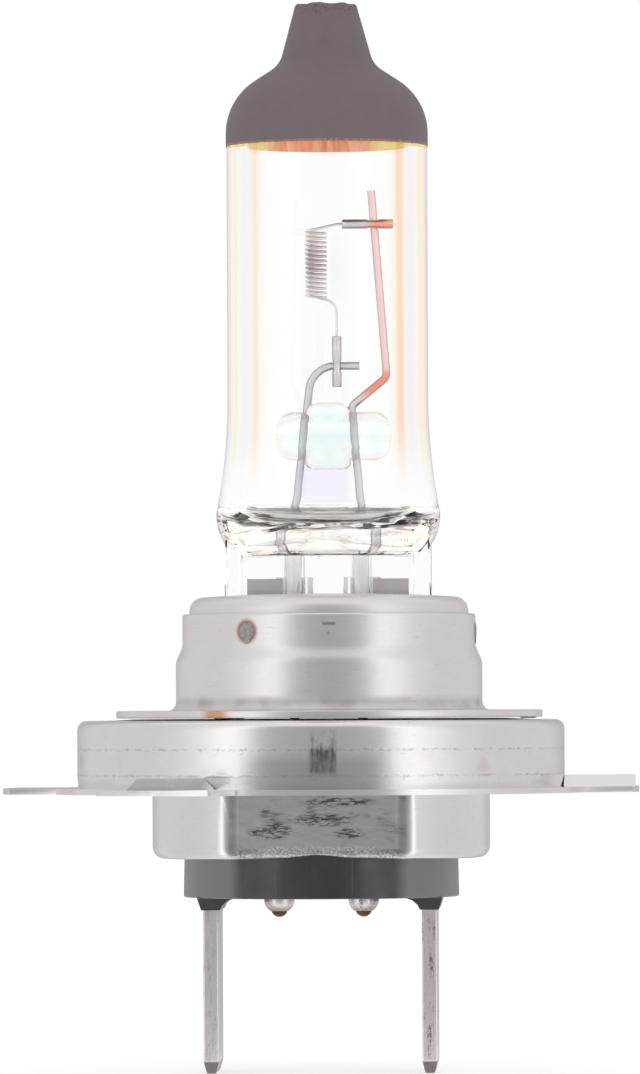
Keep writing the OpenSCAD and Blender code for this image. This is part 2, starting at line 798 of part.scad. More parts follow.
module lead_welds() {
    color(bead_brown) for (s = [-1, 1]) bead(s, true);
}

glass_envelope();
anti_glare_coat();
filament();
upper_crimp_tube();
lower_crimp_tube();
long_lead();
short_lead();
glass_bridge();
foil_left();
foil_right();
outer_lead_left();
outer_lead_right();
seal_clip();
inner_sleeve();
sleeve_collar();
sleeve_welds();
prefocus_ring();
flange_welds();
lug_plate();
insulator();
contact_left();
contact_right();
lead_welds();
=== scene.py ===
"""Looks of a halogen headlight bulb: its glass, sleeves, ring, plate, insulator and contacts."""
from math import acos, cos, pi, radians, sin, tan

import bmesh
import bpy
from bpy.props import FloatProperty, FloatVectorProperty, IntProperty, PointerProperty
from mathutils import Matrix, Vector


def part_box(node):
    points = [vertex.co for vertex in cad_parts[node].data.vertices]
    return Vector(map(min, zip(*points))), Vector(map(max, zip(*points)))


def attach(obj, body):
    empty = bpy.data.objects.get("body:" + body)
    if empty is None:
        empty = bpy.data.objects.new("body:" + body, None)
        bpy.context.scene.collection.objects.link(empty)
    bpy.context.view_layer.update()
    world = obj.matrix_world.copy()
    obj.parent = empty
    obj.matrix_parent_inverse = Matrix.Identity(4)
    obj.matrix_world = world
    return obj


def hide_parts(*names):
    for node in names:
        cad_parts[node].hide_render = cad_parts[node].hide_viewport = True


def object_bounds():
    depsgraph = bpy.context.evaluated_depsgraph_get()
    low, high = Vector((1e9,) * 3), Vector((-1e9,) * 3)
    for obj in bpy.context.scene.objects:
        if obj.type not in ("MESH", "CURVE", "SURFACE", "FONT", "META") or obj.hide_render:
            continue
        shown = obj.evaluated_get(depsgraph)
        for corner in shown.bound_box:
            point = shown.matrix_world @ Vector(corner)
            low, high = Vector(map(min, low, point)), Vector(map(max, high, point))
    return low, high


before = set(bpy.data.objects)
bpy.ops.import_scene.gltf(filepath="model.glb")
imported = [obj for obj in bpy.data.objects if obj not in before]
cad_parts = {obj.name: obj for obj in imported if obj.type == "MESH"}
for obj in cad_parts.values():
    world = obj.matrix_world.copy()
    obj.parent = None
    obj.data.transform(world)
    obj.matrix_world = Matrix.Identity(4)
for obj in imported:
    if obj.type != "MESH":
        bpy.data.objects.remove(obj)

bl_info = {
    "name": "Headlight Bulb",
    "version": (1, 0, 0),
    "blender": (4, 5, 0),
    "location": "View3D > Sidebar > Bulb",
    "description": "Builds the finished pieces of a halogen headlight bulb around its frame",
    "category": "Add Mesh",
}

MM = 0.001
X, Y, Z = Vector((1, 0, 0)), Vector((0, 1, 0)), Vector((0, 0, 1))
CAD_BOX = [list(corner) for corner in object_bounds()]

# Places taken from the frame
GLASS_LOW, GLASS_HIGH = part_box("glass_envelope")
COAT_LOW, COAT_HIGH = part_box("anti_glare_coat")
SLEEVE_LOW, SLEEVE_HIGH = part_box("inner_sleeve")
COLLAR_LOW, COLLAR_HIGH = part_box("sleeve_collar")
RING_LOW, RING_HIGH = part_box("prefocus_ring")
PLATE_LOW, PLATE_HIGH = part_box("lug_plate")
BASE_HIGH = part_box("insulator")[1]
BURNER = (GLASS_LOW.x + GLASS_HIGH.x) / 2
LUG_ANGLES = [0, radians(120), radians(240)]


def length(name, description, default):
    """A size that a user can change, in metres"""
    return FloatProperty(name=name, description=description, default=default, unit="LENGTH",
                         precision=5)


def number(name, description, default):
    """A plain number that a user can change"""
    return FloatProperty(name=name, description=description, default=default)


def angle(name, description, default):
    """An angle that a user can change"""
    return FloatProperty(name=name, description=description, default=default, subtype="ANGLE")


def linear(value):
    """Linear light of one display value between 0 and 1"""
    return value / 12.92 if value <= 0.04045 else ((value + 0.055) / 1.055) ** 2.4


def colour(name, description, red, green, blue):
    """A colour that a user can change, given in display values"""
    return FloatVectorProperty(name=name, description=description, subtype="COLOR", min=0, max=1,
                               default=(linear(red), linear(green), linear(blue)))


# ---- Sizes and colours that a user can change ----------------------------------------------


class CapsuleSizes(bpy.types.PropertyGroup):
    """Sizes of the glass capsule and its coat"""
    wall: length("Wall", "Wall thickness of the tube", 1.0 * MM)
    tube_radius: length("Tube radius", "Outer radius of the tube", 5.36 * MM)
    swell_height: length("Swelling height", "Height of the widest part of the swelling", 14 * MM)
    flare_height: length("Flare height", "Height where the tube begins to swell", 20.2 * MM)
    shoulder_height: length("Shoulder height", "Height where the shoulder begins", 34.3 * MM)
    dome_radius: length("Shoulder radius", "Radius of the rounded shoulder", 3.3 * MM)
    dome_turn: angle("Shoulder turn", "How far the shoulder turns before it runs straight",
                     radians(57))
    neck_radius: length("Neck radius", "Radius of the hollow at the foot of the tip", 1.5 * MM)
    tip_foot: length("Tip foot", "Radius at the foot of the tip", 2.3 * MM)
    tip_end: length("Tip end", "Radius at the end of the tip", 1.62 * MM)
    heel_width: length("Heel width", "Width of the rounded heel", 1.5 * MM)
    heel_drop: length("Heel drop", "Height of the rounded heel", 2.3 * MM)
    floor_height: length("Floor height", "Height of the bottom of the gas space", 13.3 * MM)
    coat_thickness: length("Coat thickness", "Thickness of the black coat", 0.04 * MM)


class SealSizes(bpy.types.PropertyGroup):
    """Sizes of the flat seal"""
    width: length("Width", "Width across the side ribs", 10.95 * MM)
    web: length("Web", "Thickness of the web", 2.4 * MM)
    rib: length("Rib", "Width of a side rib", 0.9 * MM)
    rib_depth: length("Rib depth", "Thickness of a side rib", 3.6 * MM)
    block: length("Block", "Width of the middle block", 2.3 * MM)
    block_depth: length("Block depth", "Thickness of the middle block", 3.1 * MM)
    column: length("Column", "Radius of the column round each lead", 0.5 * MM)


class BurnerSizes(bpy.types.PropertyGroup):
    """Sizes of the filament, its leads and the glass bridge"""
    coil_radius: length("Coil radius", "Mean radius of the coil", 0.53 * MM)
    coil_length: length("Coil length", "Length of the coil", 3.8 * MM)
    coil_turns: IntProperty(name="Turns", description="Number of turns", default=15)
    light_height: length("Light height", "Height of the coil's middle", 27.3 * MM)
    coil_offset: length("Coil offset", "Distance of the coil from the capsule's axis", 0.6 * MM)
    filament_radius: length("Filament radius", "Radius of the tungsten wire", 0.068 * MM)
    lead_radius: length("Lead radius", "Radius of the support leads", 0.21 * MM)
    lead_place: length("Lead place", "Distance of each lead from the axis in the seal", 1.8 * MM)
    crimp_radius: length("Crimp radius", "Radius of the crimp tubes", 0.25 * MM)
    crimp_length: length("Crimp length", "Length of the crimp tubes", 2.7 * MM)
    rod_radius: length("Rod radius", "Radius of the bridge's cross rod", 1.31 * MM)
    rod_length: length("Rod length", "Length of the bridge's cross rod", 6.15 * MM)
    barrel_radius: length("Barrel radius", "Radius of the bridge's barrel", 1.24 * MM)
    barrel_height: length("Barrel height", "Height of the bridge's barrel", 3.6 * MM)
    bridge_height: length("Bridge height", "Height of the bridge's middle", 18.1 * MM)


class SleeveSizes(bpy.types.PropertyGroup):
    """Sizes of the two sleeves and their welds"""
    sheet: length("Sheet", "Sheet thickness", 0.3 * MM)
    shoulder: length("Shoulder", "Radius of the inner sleeve's pressed shoulder", 0.75 * MM)
    crown: length("Crown", "Rise of the inner sleeve's top towards the slot", 0.16 * MM)
    step: length("Step", "How far the collar steps out", 0.36 * MM)
    step_height: length("Step height", "Height of the middle of the step", 6.5 * MM)
    step_half: length("Half step", "Half the height over which the collar steps out", 0.6 * MM)
    foot_radius: length("Foot radius", "Radius where the collar turns into its flange", 0.45 * MM)
    weld_height: length("Weld height", "Height of the three welds", 7.68 * MM)
    weld_radius: length("Weld radius", "Radius of each weld", 0.45 * MM)


class BaseSizes(bpy.types.PropertyGroup):
    """Sizes of the ring, the plate, the skirt and the insulator"""
    ring_sheet: length("Ring sheet", "Sheet thickness of the ring", 0.35 * MM)
    ring_round: length("Ring rounding", "Radius of the ring's top edge", 0.5 * MM)
    ring_crown: length("Ring crown", "Rise of the ring's top towards the sleeves", 0.07 * MM)
    plate_sheet: length("Plate sheet", "Sheet thickness of the plate", 0.3 * MM)
    rim: length("Rim", "Width of the plate's rim beyond the ring", 1.6 * MM)
    lug_width: length("Lug width", "Width of the three lugs", 7 * MM)
    tab_width: length("Tab width", "Width of the location tab", 9 * MM)
    boss_top: length("Boss top", "Width of each boss along its top", 1.7 * MM)
    boss_foot: length("Boss foot", "Width of each boss at its foot", 3.05 * MM)
    skirt_radius: length("Skirt radius", "Outer radius of the skirt", 9 * MM)
    skirt_flat: length("Skirt flat", "Distance of the skirt's flats from the axis", 7.5 * MM)
    skirt_corner: length("Skirt corner", "Rounding between a flat and the skirt's round part",
                         0.75 * MM)
    skirt_round: length("Skirt rounding", "Radius of the skirt's lower edge", 0.6 * MM)
    drum_radius: length("Drum radius", "Radius of the insulator below the skirt", 7.35 * MM)
    drum_drop: length("Drum drop", "How far the insulator shows below the skirt", 2.07 * MM)


class ContactSizes(bpy.types.PropertyGroup):
    """Sizes of the contact blades and weld cups"""
    blade_thickness: length("Blade thickness", "Thickness of each blade", 0.8 * MM)
    blade_width: length("Blade width", "Width of each blade", 6.3 * MM)
    blade_place: length("Blade place", "Distance of each blade from the axis", 5.8 * MM)
    blade_length: length("Blade length", "Length of each blade below the insulator", 9.33 * MM)
    point: length("Point", "Length of the bevelled point", 0.65 * MM)
    root_outside: length("Root outside", "Reach of the moulded root away from the axis", 0.7 * MM)
    root_inside: length("Root inside", "Reach of the moulded root towards the axis", 1.25 * MM)
    root_drop: length("Root drop", "Height of the moulded root", 0.65 * MM)
    cup_place: length("Cup place", "Distance of each weld cup from the axis", 2.25 * MM)
    cup_radius: length("Cup radius", "Radius of each weld cup", 0.82 * MM)
    cup_drop: length("Cup drop", "How far each weld cup shows", 0.85 * MM)


class Finishes(bpy.types.PropertyGroup):
    """Colours of the finishes"""
    coat: colour("Black coat", "Anti-glare coat", 0.415, 0.375, 0.385)
    steel: colour("Steel", "Ring, plate and skirt", 0.912, 0.9, 0.892)
    sleeve: colour("Sleeve steel", "Sleeves and collar", 0.912, 0.897, 0.888)
    tungsten: colour("Tungsten", "Filament wire", 0.93, 0.91, 0.91)
    molybdenum: colour("Molybdenum", "Leads and crimp tubes", 0.86, 0.85, 0.86)
    blush: colour("Blush", "Film on the long lead", 0.97, 0.8, 0.8)
    slate: colour("Slate", "Moulded insulator", 0.17, 0.165, 0.185)
    nickel: colour("Nickel", "Contact blades and cups", 0.95, 0.93, 0.925)
    bead: colour("Weld bead", "Beads in the cups", 0.45, 0.3, 0.24)


class StageSettings(bpy.types.PropertyGroup):
    """Camera, floor and light"""
    distance: length("Camera distance", "Distance of the camera from the axis", 480.5 * MM)
    height: length("Camera height", "Height of the camera", 4.05 * MM)
    aim: length("Aim height", "Height that the camera looks at", 12.75 * MM)
    turn: angle("Camera turn", "How far the camera stands towards the first boss", radians(1.7))
    roll: angle("Camera roll", "Roll of the camera", radians(0.25))
    lens: number("Lens", "Focal length in millimetres", 301.7)
    floor: length("Floor size", "Width of the floor", 1500 * MM)


# ---- Outlines ------------------------------------------------------------------------------


def arc(centre, radius, start, stop, steps=8):
    """Points on an arc, as radius and height; the angles are in degrees"""
    turns = [radians(start + (stop - start) * i / steps) for i in range(steps + 1)]
    return [(centre[0] + radius * cos(t), centre[1] + radius * sin(t)) for t in turns]


def oval(centre, across, down, steps=12):
    """Points on a quarter of an oval, from its bottom to its side"""
    turns = [pi / 2 * (1 - i / steps) for i in range(steps + 1)]
    return [(centre[0] + across * cos(t), centre[1] - down * sin(t)) for t in turns]


def rounded(corners, radii, steps=6):
    """Path through the corners, with each inner corner rounded to its own radius"""
    path = [Vector(corners[0])]
    for before, corner, after, radius in zip(corners, corners[1:], corners[2:], radii):
        corner = Vector(corner)
        u = (Vector(before) - corner).normalized()
        v = (Vector(after) - corner).normalized()
        half = acos(u.dot(v)) / 2
        middle = corner + (u + v).normalized() * radius / sin(half)
        out = (corner + u * radius / tan(half) - middle).normalized()
        for i in range(steps + 1):
            t = (pi - 2 * half) * i / steps
            path.append(middle + radius * (cos(t) * out - sin(t) * u))
    return path + [Vector(corners[-1])]


# ---- Modelling by hand ---------------------------------------------------------------------


def deselect():
    """Selects nothing, so that the next operator acts on the new piece alone"""
    bpy.ops.object.select_all(action="DESELECT")


def open_piece(name):
    """Names the primitive just added and opens it for editing"""
    piece = bpy.context.active_object
    piece.name = piece.data.name = name
    bpy.ops.object.mode_set(mode="EDIT")
    bpy.ops.mesh.select_mode(type="VERT")
    return piece


def close_piece(smooth=35):
    """Ends editing, puts the place into the mesh and smooths all but the sharp edges"""
    bpy.ops.object.mode_set(mode="OBJECT")
    bpy.ops.object.transform_apply(location=True, rotation=True, scale=True)
    bpy.ops.object.shade_smooth_by_angle(angle=radians(smooth))


def activate(piece):
    """Makes one piece the only selected one"""
    deselect()
    piece.select_set(True)
    bpy.context.view_layer.objects.active = piece


def turned(name, outline, centre=(0, 0, 0), along=Z, out=X, steps=128, loop=False, smooth=35):
    """Solid of revolution: draws the outline by extruding one vertex, then spins it"""
    points = [Vector(centre) + out * r + along * h for r, h in outline]
    deselect()
    bpy.ops.mesh.primitive_plane_add(size=MM, location=points[0])
    piece = open_piece(name)
    bpy.ops.mesh.merge(type="CENTER")
    for a, b in zip(points, points[1:] + points[:1] * loop):
        bpy.ops.mesh.extrude_region_move(TRANSFORM_OT_translate={"value": b - a})
    bpy.ops.mesh.select_all(action="SELECT")
    bpy.ops.mesh.remove_doubles(threshold=MM / 500)
    bpy.ops.mesh.select_all(action="SELECT")
    bpy.ops.mesh.spin(steps=steps, angle=2 * pi, center=centre, axis=along)
    bpy.ops.mesh.select_all(action="SELECT")
    bpy.ops.mesh.remove_doubles(threshold=MM / 500)
    bpy.ops.mesh.delete_loose()
    bpy.ops.mesh.normals_make_consistent(inside=False)
    if bmesh.from_edit_mesh(piece.data).calc_volume(signed=True) < 0:
        bpy.ops.mesh.flip_normals()
    close_piece(smooth)
    return piece


def drawn(name, outline, depth, smooth=35):
    """Solid from a closed outline of points, drawn by extrusion and then extruded by depth"""
    points = [Vector(p) for p in outline]
    deselect()
    bpy.ops.mesh.primitive_plane_add(size=MM, location=points[0])
    piece = open_piece(name)
    bpy.ops.mesh.merge(type="CENTER")
    for a, b in zip(points, points[1:] + points[:1]):
        bpy.ops.mesh.extrude_region_move(TRANSFORM_OT_translate={"value": b - a})
    bpy.ops.mesh.select_all(action="SELECT")
    bpy.ops.mesh.remove_doubles(threshold=MM / 500)
    bpy.ops.mesh.select_all(action="SELECT")
    bpy.ops.mesh.edge_face_add()
    bpy.ops.mesh.extrude_region_move(TRANSFORM_OT_translate={"value": Vector(depth)})
    bpy.ops.mesh.select_all(action="SELECT")
    bpy.ops.mesh.normals_make_consistent(inside=False)
    close_piece(smooth)
    return piece


def wire(name, path, radius, sides=8):
    """Round wire along a path, as a bevelled curve made into a mesh"""
    deselect()
    bpy.ops.curve.primitive_nurbs_path_add()
    piece = bpy.context.active_object
    piece.name = piece.data.name = name
    line = piece.data.splines[0]
    line.points.add(len(path) - len(line.points))
    for knot, place in zip(line.points, path):
        knot.co = (*place, 1)
    line.type = "POLY"
    piece.data.bevel_depth = radius
    piece.data.bevel_resolution = sides
    piece.data.use_fill_caps = True
    bpy.ops.object.convert(target="MESH")
    open_piece(name)
    bpy.ops.mesh.select_all(action="SELECT")
    bpy.ops.mesh.remove_doubles(threshold=MM / 500)
    bpy.ops.mesh.normals_make_consistent(inside=False)
    close_piece(60)
    return piece


def combine(piece, tool, operation):
    """Adds, cuts or keeps the overlap of a tool piece, and removes the tool"""
    activate(piece)
    change = piece.modifiers.new(operation, "BOOLEAN")
    change.operation = operation
    change.solver = "MANIFOLD"
    change.object = tool
    bpy.ops.object.modifier_apply(modifier=change.name)
    bpy.data.objects.remove(tool)
    return piece


def softened(piece, width, segments=2, limit=35, smooth=35):
    """Bevels every sharp edge of a piece"""
    activate(piece)
    change = piece.modifiers.new("Edges", "BEVEL")
    change.width = width
    change.segments = segments
    change.limit_method = "ANGLE"
    change.angle_limit = radians(limit)
    change.use_clamp_overlap = True
    bpy.ops.object.modifier_apply(modifier=change.name)
    bpy.ops.object.shade_smooth_by_angle(angle=radians(smooth))
    return piece


def joined(name, pieces):
    """Makes one piece of several"""
    activate(pieces[0])
    for piece in pieces:
        piece.select_set(True)
    bpy.ops.object.join()
    pieces[0].name = pieces[0].data.name = name
    return pieces[0]


def turned_copy(piece, turn, centre=(0, 0, 0)):
    """Copy of a piece with its own mesh, turned round an upright axis"""
    activate(piece)
    bpy.ops.object.duplicate()
    copy = bpy.context.active_object
    place = Vector(centre)
    copy.data.transform(Matrix.Translation(place) @ Matrix.Rotation(turn, 4, "Z")
                        @ Matrix.Translation(-place))
    return copy


def pick(piece, kind, test):
    """Selects the vertices, edges or faces that pass a test, in edit mode"""
    mesh = bmesh.from_edit_mesh(piece.data)
    bpy.ops.mesh.select_all(action="DESELECT")
    bpy.ops.mesh.select_mode(type={"verts": "VERT", "edges": "EDGE", "faces": "FACE"}[kind])
    for part in getattr(mesh, kind):
        if test(part):
            part.select_set(True)
    bmesh.update_edit_mesh(piece.data)


def pulled(piece, test, shift, reach):
    """Pulls the vertices that pass a test, and more gently all others within reach"""
    activate(piece)
    bpy.ops.object.mode_set(mode="EDIT")
    pick(piece, "verts", test)
    bpy.ops.transform.translate(value=shift, use_proportional_edit=True,
                                proportional_edit_falloff="SMOOTH", proportional_size=reach)
    close_piece(40)


def lean_tip(piece):
    """Gives the pinched tip its uneven shape"""
    top = GLASS_HIGH.z
    pulled(piece, lambda v: v.co.z > top - 0.12 * MM, (-0.02 * MM, 0, 0), 2.2 * MM)
    pulled(piece, lambda v: abs(v.co.z - top + 1.5 * MM) < 0.25 * MM and v.co.x - BURNER > 1.5 * MM,
           (0.16 * MM, 0, 0), 1.3 * MM)
    pulled(piece, lambda v: abs(v.co.z - top + 0.9 * MM) < 0.25 * MM and v.co.x - BURNER < -1.5 * MM,
           (0.2 * MM, 0, 0), 1.1 * MM)
    for x, y, drop in ((-1.2, -0.9, 0.1), (0.35, -1.5, 0.07), (1.3, -0.6, 0.09), (0.2, 1.4, 0.1)):
        spot = Vector((BURNER + x * MM, y * MM, top))
        pulled(piece, lambda v, spot=spot: (v.co - spot).length < 0.2 * MM, (0, 0, -drop * MM),
               0.5 * MM)


def settle(piece, slot, *nodes, materials=()):
    """Gives a finished piece its materials and body and hides the frame's nodes, or fails if it is
    empty; slot is not used
    """
    if not piece.data.polygons:
        raise RuntimeError(piece.name + " has no faces")
    piece.data.materials.clear()
    for material in materials:
        piece.data.materials.append(material)
    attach(piece, "root")
    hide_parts(*nodes)
    return piece


# ---- Shader building -----------------------------------------------------------------------


class Tree:
    """A node tree, with short ways to add nodes and join them"""

    def __init__(self, tree):
        self.tree = tree

    def add(self, kind, sockets=None, **settings):
        """Adds a node, sets its options, and sets or joins its sockets"""
        node = self.tree.nodes.new("ShaderNode" + kind)
        for name, value in settings.items():
            setattr(node, name, value)
        for key, value in (sockets or {}).items():
            if isinstance(value, bpy.types.NodeSocket):
                self.tree.links.new(value, node.inputs[key])
            else:
                node.inputs[key].default_value = value
        return node

    def math(self, operation, a, b=0.0, clamp=False):
        """Result of one sum"""
        return self.add("Math", {0: a, 1: b}, operation=operation, use_clamp=clamp).outputs[0]

    def product(self, *values):
        """Product of several values"""
        result = values[0]
        for value in values[1:]:
            result = self.math("MULTIPLY", result, value)
        return result

    def stretch(self, place, factors):
        """Place with each axis multiplied by its own factor"""
        return self.add("VectorMath", {0: place, 1: factors}, operation="MULTIPLY").outputs[0]

    def noise(self, place, scale, detail=2.0, roughness=0.5, distortion=0.0):
        """Cloudy noise between 0 and 1"""
        return self.add("TexNoise", {"Vector": place, "Scale": scale, "Detail": detail,
                                     "Roughness": roughness, "Distortion": distortion}).outputs["Fac"]

    def fade(self, value, low, high):
        """0 below low, 1 above high, with a smooth change between"""
        return self.add("MapRange", {"Value": value, "From Min": low, "From Max": high},
                        interpolation_type="SMOOTHSTEP").outputs["Result"]

    def band(self, value, low, high, soft):
        """1 between low and high, fading to 0 outside"""
        rise = self.fade(value, low - soft, low + soft)
        return self.math("MULTIPLY", rise, self.fade(value, high + soft, high - soft))

    def mix(self, factor, a, b):
        """Colour between a and b"""
        node = self.add("Mix", {0: factor}, data_type="RGBA")
        for index, value in ((6, a), (7, b)):
            if isinstance(value, bpy.types.NodeSocket):
                self.tree.links.new(value, node.inputs[index])
            else:
                node.inputs[index].default_value = value
        return node.outputs[2]

    def between(self, factor, low, high):
        """Number between low and high"""
        return self.add("MapRange", {"Value": factor, "To Min": low, "To Max": high}).outputs["Result"]

    def ramp(self, factor, stops):
        """Colour from a list of places and colours"""
        node = self.add("ValToRGB", {"Fac": factor})
        steps = node.color_ramp.elements
        while len(steps) < len(stops):
            steps.new(0.5)
        for step, (place, shade) in zip(steps, stops):
            step.position = place
            step.color = shade
        return node.outputs["Color"]

    def bump(self, height, strength, distance):
        """Normal that follows a height"""
        return self.add("Bump", {"Height": height, "Strength": strength,
                                 "Distance": distance}).outputs["Normal"]


def full(shade, dim=1.0):
    """Colour with its alpha, made darker by dim"""
    return (*[part * dim for part in shade[:3]], 1.0)


def cool(value):
    """Slightly cool light of one linear value"""
    return (value * 0.985, value * 0.98, value, 1.0)


def effect(name, inputs, outputs, build):
    """Node group made once, with named inputs and outputs"""
    if name in bpy.data.node_groups:
        return bpy.data.node_groups[name]
    group = bpy.data.node_groups.new(name, "ShaderNodeTree")
    for label, kind, default in inputs:
        socket = group.interface.new_socket(label, in_out="INPUT", socket_type="NodeSocket" + kind)
        if default is not None:
            socket.default_value = default
    for label, kind in outputs:
        group.interface.new_socket(label, in_out="OUTPUT", socket_type="NodeSocket" + kind)
    entry = group.nodes.new("NodeGroupInput")
    leave = group.nodes.new("NodeGroupOutput")
    results = build(Tree(group), entry.outputs)
    for label, socket in results.items():
        group.links.new(socket, leave.inputs[label])
    return group


def placed(tree, group, **sockets):
    """Places a group in a tree, sets its inputs and returns its outputs"""
    node = tree.tree.nodes.new("ShaderNodeGroup")
    node.node_tree = group
    for name, value in sockets.items():
        if isinstance(value, bpy.types.NodeSocket):
            tree.tree.links.new(value, node.inputs[name])
        else:
            node.inputs[name].default_value = value
    return node.outputs


def wrapped_place():
    """Group: place on a round wall, as the way round it, its radius and its height, in mm"""
    def build(tree, given):
        shift = tree.add("CombineXYZ", {0: given["Centre"]}).outputs[0]
        place = tree.add("VectorMath", {0: given["Place"], 1: shift}, operation="SUBTRACT").outputs[0]
        part = tree.add("SeparateXYZ", {0: place}).outputs
        back = tree.math("MULTIPLY", part["Y"], -1.0)
        turn = tree.math("ARCTAN2", part["X"], back)
        reach = tree.add("VectorMath", {0: tree.stretch(place, (1, 1, 0))}, operation="LENGTH")
        radius = reach.outputs["Value"]
        way = tree.math("MULTIPLY", turn, given["Radius"])
        flat = tree.add("CombineXYZ", {0: way, 1: radius, 2: part["Z"]}).outputs[0]
        return {"Flat": flat, "Turn": turn, "Distance": radius, "Height": part["Z"]}
    return effect("Wrapped place",
                  [("Place", "Vector", None), ("Centre", "Float", 0.0), ("Radius", "Float", 10.0)],
                  [("Flat", "Vector"), ("Turn", "Float"), ("Distance", "Float"), ("Height", "Float")],
                  build)


def drawn_grain():
    """Group: fine lines and soft blotches that drawing leaves on sheet metal"""
    def build(tree, given):
        along = tree.stretch(given["Place"], (0.35, 1.0, 9.0))
        lines = tree.noise(along, 3.0, 5.0, 0.65)
        blotch = tree.noise(given["Place"], 0.45, 3.0, 0.55, 0.6)
        fleck = tree.noise(given["Place"], 14.0, 2.0, 0.6)
        tone = tree.math("ADD", tree.math("MULTIPLY", lines, 0.55), tree.math("MULTIPLY", blotch, 0.45))
        height = tree.math("ADD", tree.math("MULTIPLY", lines, 0.7), tree.math("MULTIPLY", fleck, 0.3))
        return {"Tone": tone, "Blotch": blotch, "Height": height}
    return effect("Drawn grain", [("Place", "Vector", None)],
                  [("Tone", "Float"), ("Blotch", "Float"), ("Height", "Float")], build)


def scuffs():
    """Group: scattered scuff marks, drawn out along one axis"""
    def build(tree, given):
        stretched = tree.stretch(given["Place"], given["Stretch"])
        marks = tree.noise(stretched, given["Scale"], 4.0, 0.7, 0.4)
        where = tree.noise(given["Place"], 0.8, 2.0, 0.5)
        patch = tree.fade(where, 0.42, 0.6)
        line = tree.fade(marks, given["Level"], tree.math("ADD", given["Level"], 0.08))
        return {"Mask": tree.math("MULTIPLY", line, patch)}
    return effect("Scuffs", [("Place", "Vector", None), ("Stretch", "Vector", (1, 1, 1)),
                             ("Scale", "Float", 3.0), ("Level", "Float", 0.62)],
                  [("Mask", "Float")], build)


def heat_tint():
    """Group: colour and mask of the heat tint at a distance from a weld"""
    def build(tree, given):
        ring = tree.math("DIVIDE", given["Distance"], given["Reach"])
        shade = tree.ramp(ring, [(0.0, (0.16, 0.1, 0.09, 1)), (0.58, (0.12, 0.06, 0.05, 1)),
                                 (0.68, (0.3, 0.14, 0.1, 1)), (1.0, (0.7, 0.46, 0.38, 1))])
        mask = tree.fade(ring, 0.95, 0.6)
        return {"Tint": shade, "Mask": mask}
    return effect("Heat tint", [("Distance", "Float", 1.0), ("Reach", "Float", 1.0)],
                  [("Tint", "Color"), ("Mask", "Float")], build)


def studio_glow():
    """Group: light that shiny things see by direction, dim in front between two bright sides"""
    def build(tree, given):
        way = tree.add("VectorMath", {0: given["Way"]}, operation="NORMALIZE").outputs[0]
        level = tree.add("VectorMath", {0: tree.stretch(way, (1, 1, 0))}, operation="NORMALIZE")
        front = tree.add("VectorMath", {0: level.outputs[0], 1: (0.02, -0.9998, 0)},
                         operation="DOT_PRODUCT")
        share = tree.between(front.outputs["Value"], 0.0, 1.0)
        share.node.inputs["From Min"].default_value = -1.0
        round_about = tree.ramp(share, [
            (0.0, cool(0.5)), (0.12, cool(0.78)), (0.5, cool(0.76)), (0.68, cool(0.84)),
            (0.78, cool(1.05)), (0.88, cool(1.38)), (0.91, cool(1.1)), (0.94, cool(0.56)),
            (1.0, cool(0.44))])
        rise = tree.math("ABSOLUTE", tree.add("SeparateXYZ", {0: way}).outputs["Z"])
        seen = tree.mix(tree.fade(rise, 0.6, 0.9), round_about, cool(0.95))
        return {"Glow": seen}
    return effect("Studio glow", [("Way", "Vector", (0, -1, 0))], [("Glow", "Color")], build)


def bare_glossy(tree):
    """1 where a shiny surface outside the glass looks at its surroundings"""
    path = tree.add("LightPath").outputs
    outside = tree.math("LESS_THAN", path["Transmission Depth"], 0.5)
    return tree.math("MULTIPLY", path["Is Glossy Ray"], outside)


def new_material(name):
    """Empty material, its tree, its place in millimetres and its shader"""
    material = bpy.data.materials.new(name)
    material.use_nodes = True
    material.node_tree.nodes.clear()
    tree = Tree(material.node_tree)
    shader = tree.add("BsdfPrincipled")
    output = tree.add("OutputMaterial")
    tree.tree.links.new(shader.outputs[0], output.inputs["Surface"])
    place = tree.stretch(tree.add("TexCoord").outputs["Object"], (1000, 1000, 1000))
    return material, tree, place, shader


def feed(tree, shader, **sockets):
    """Sets or joins the shader's sockets"""
    names = {"color": "Base Color", "rough": "Roughness", "metal": "Metallic", "normal": "Normal",
             "ior": "IOR", "glass": "Transmission Weight", "specular": "Specular IOR Level",
             "glow": "Emission Color", "strength": "Emission Strength"}
    for key, value in sockets.items():
        socket = shader.inputs[names[key]]
        if isinstance(value, bpy.types.NodeSocket):
            tree.tree.links.new(value, socket)
        else:
            socket.default_value = value


# ---- Finishes ------------------------------------------------------------------------------


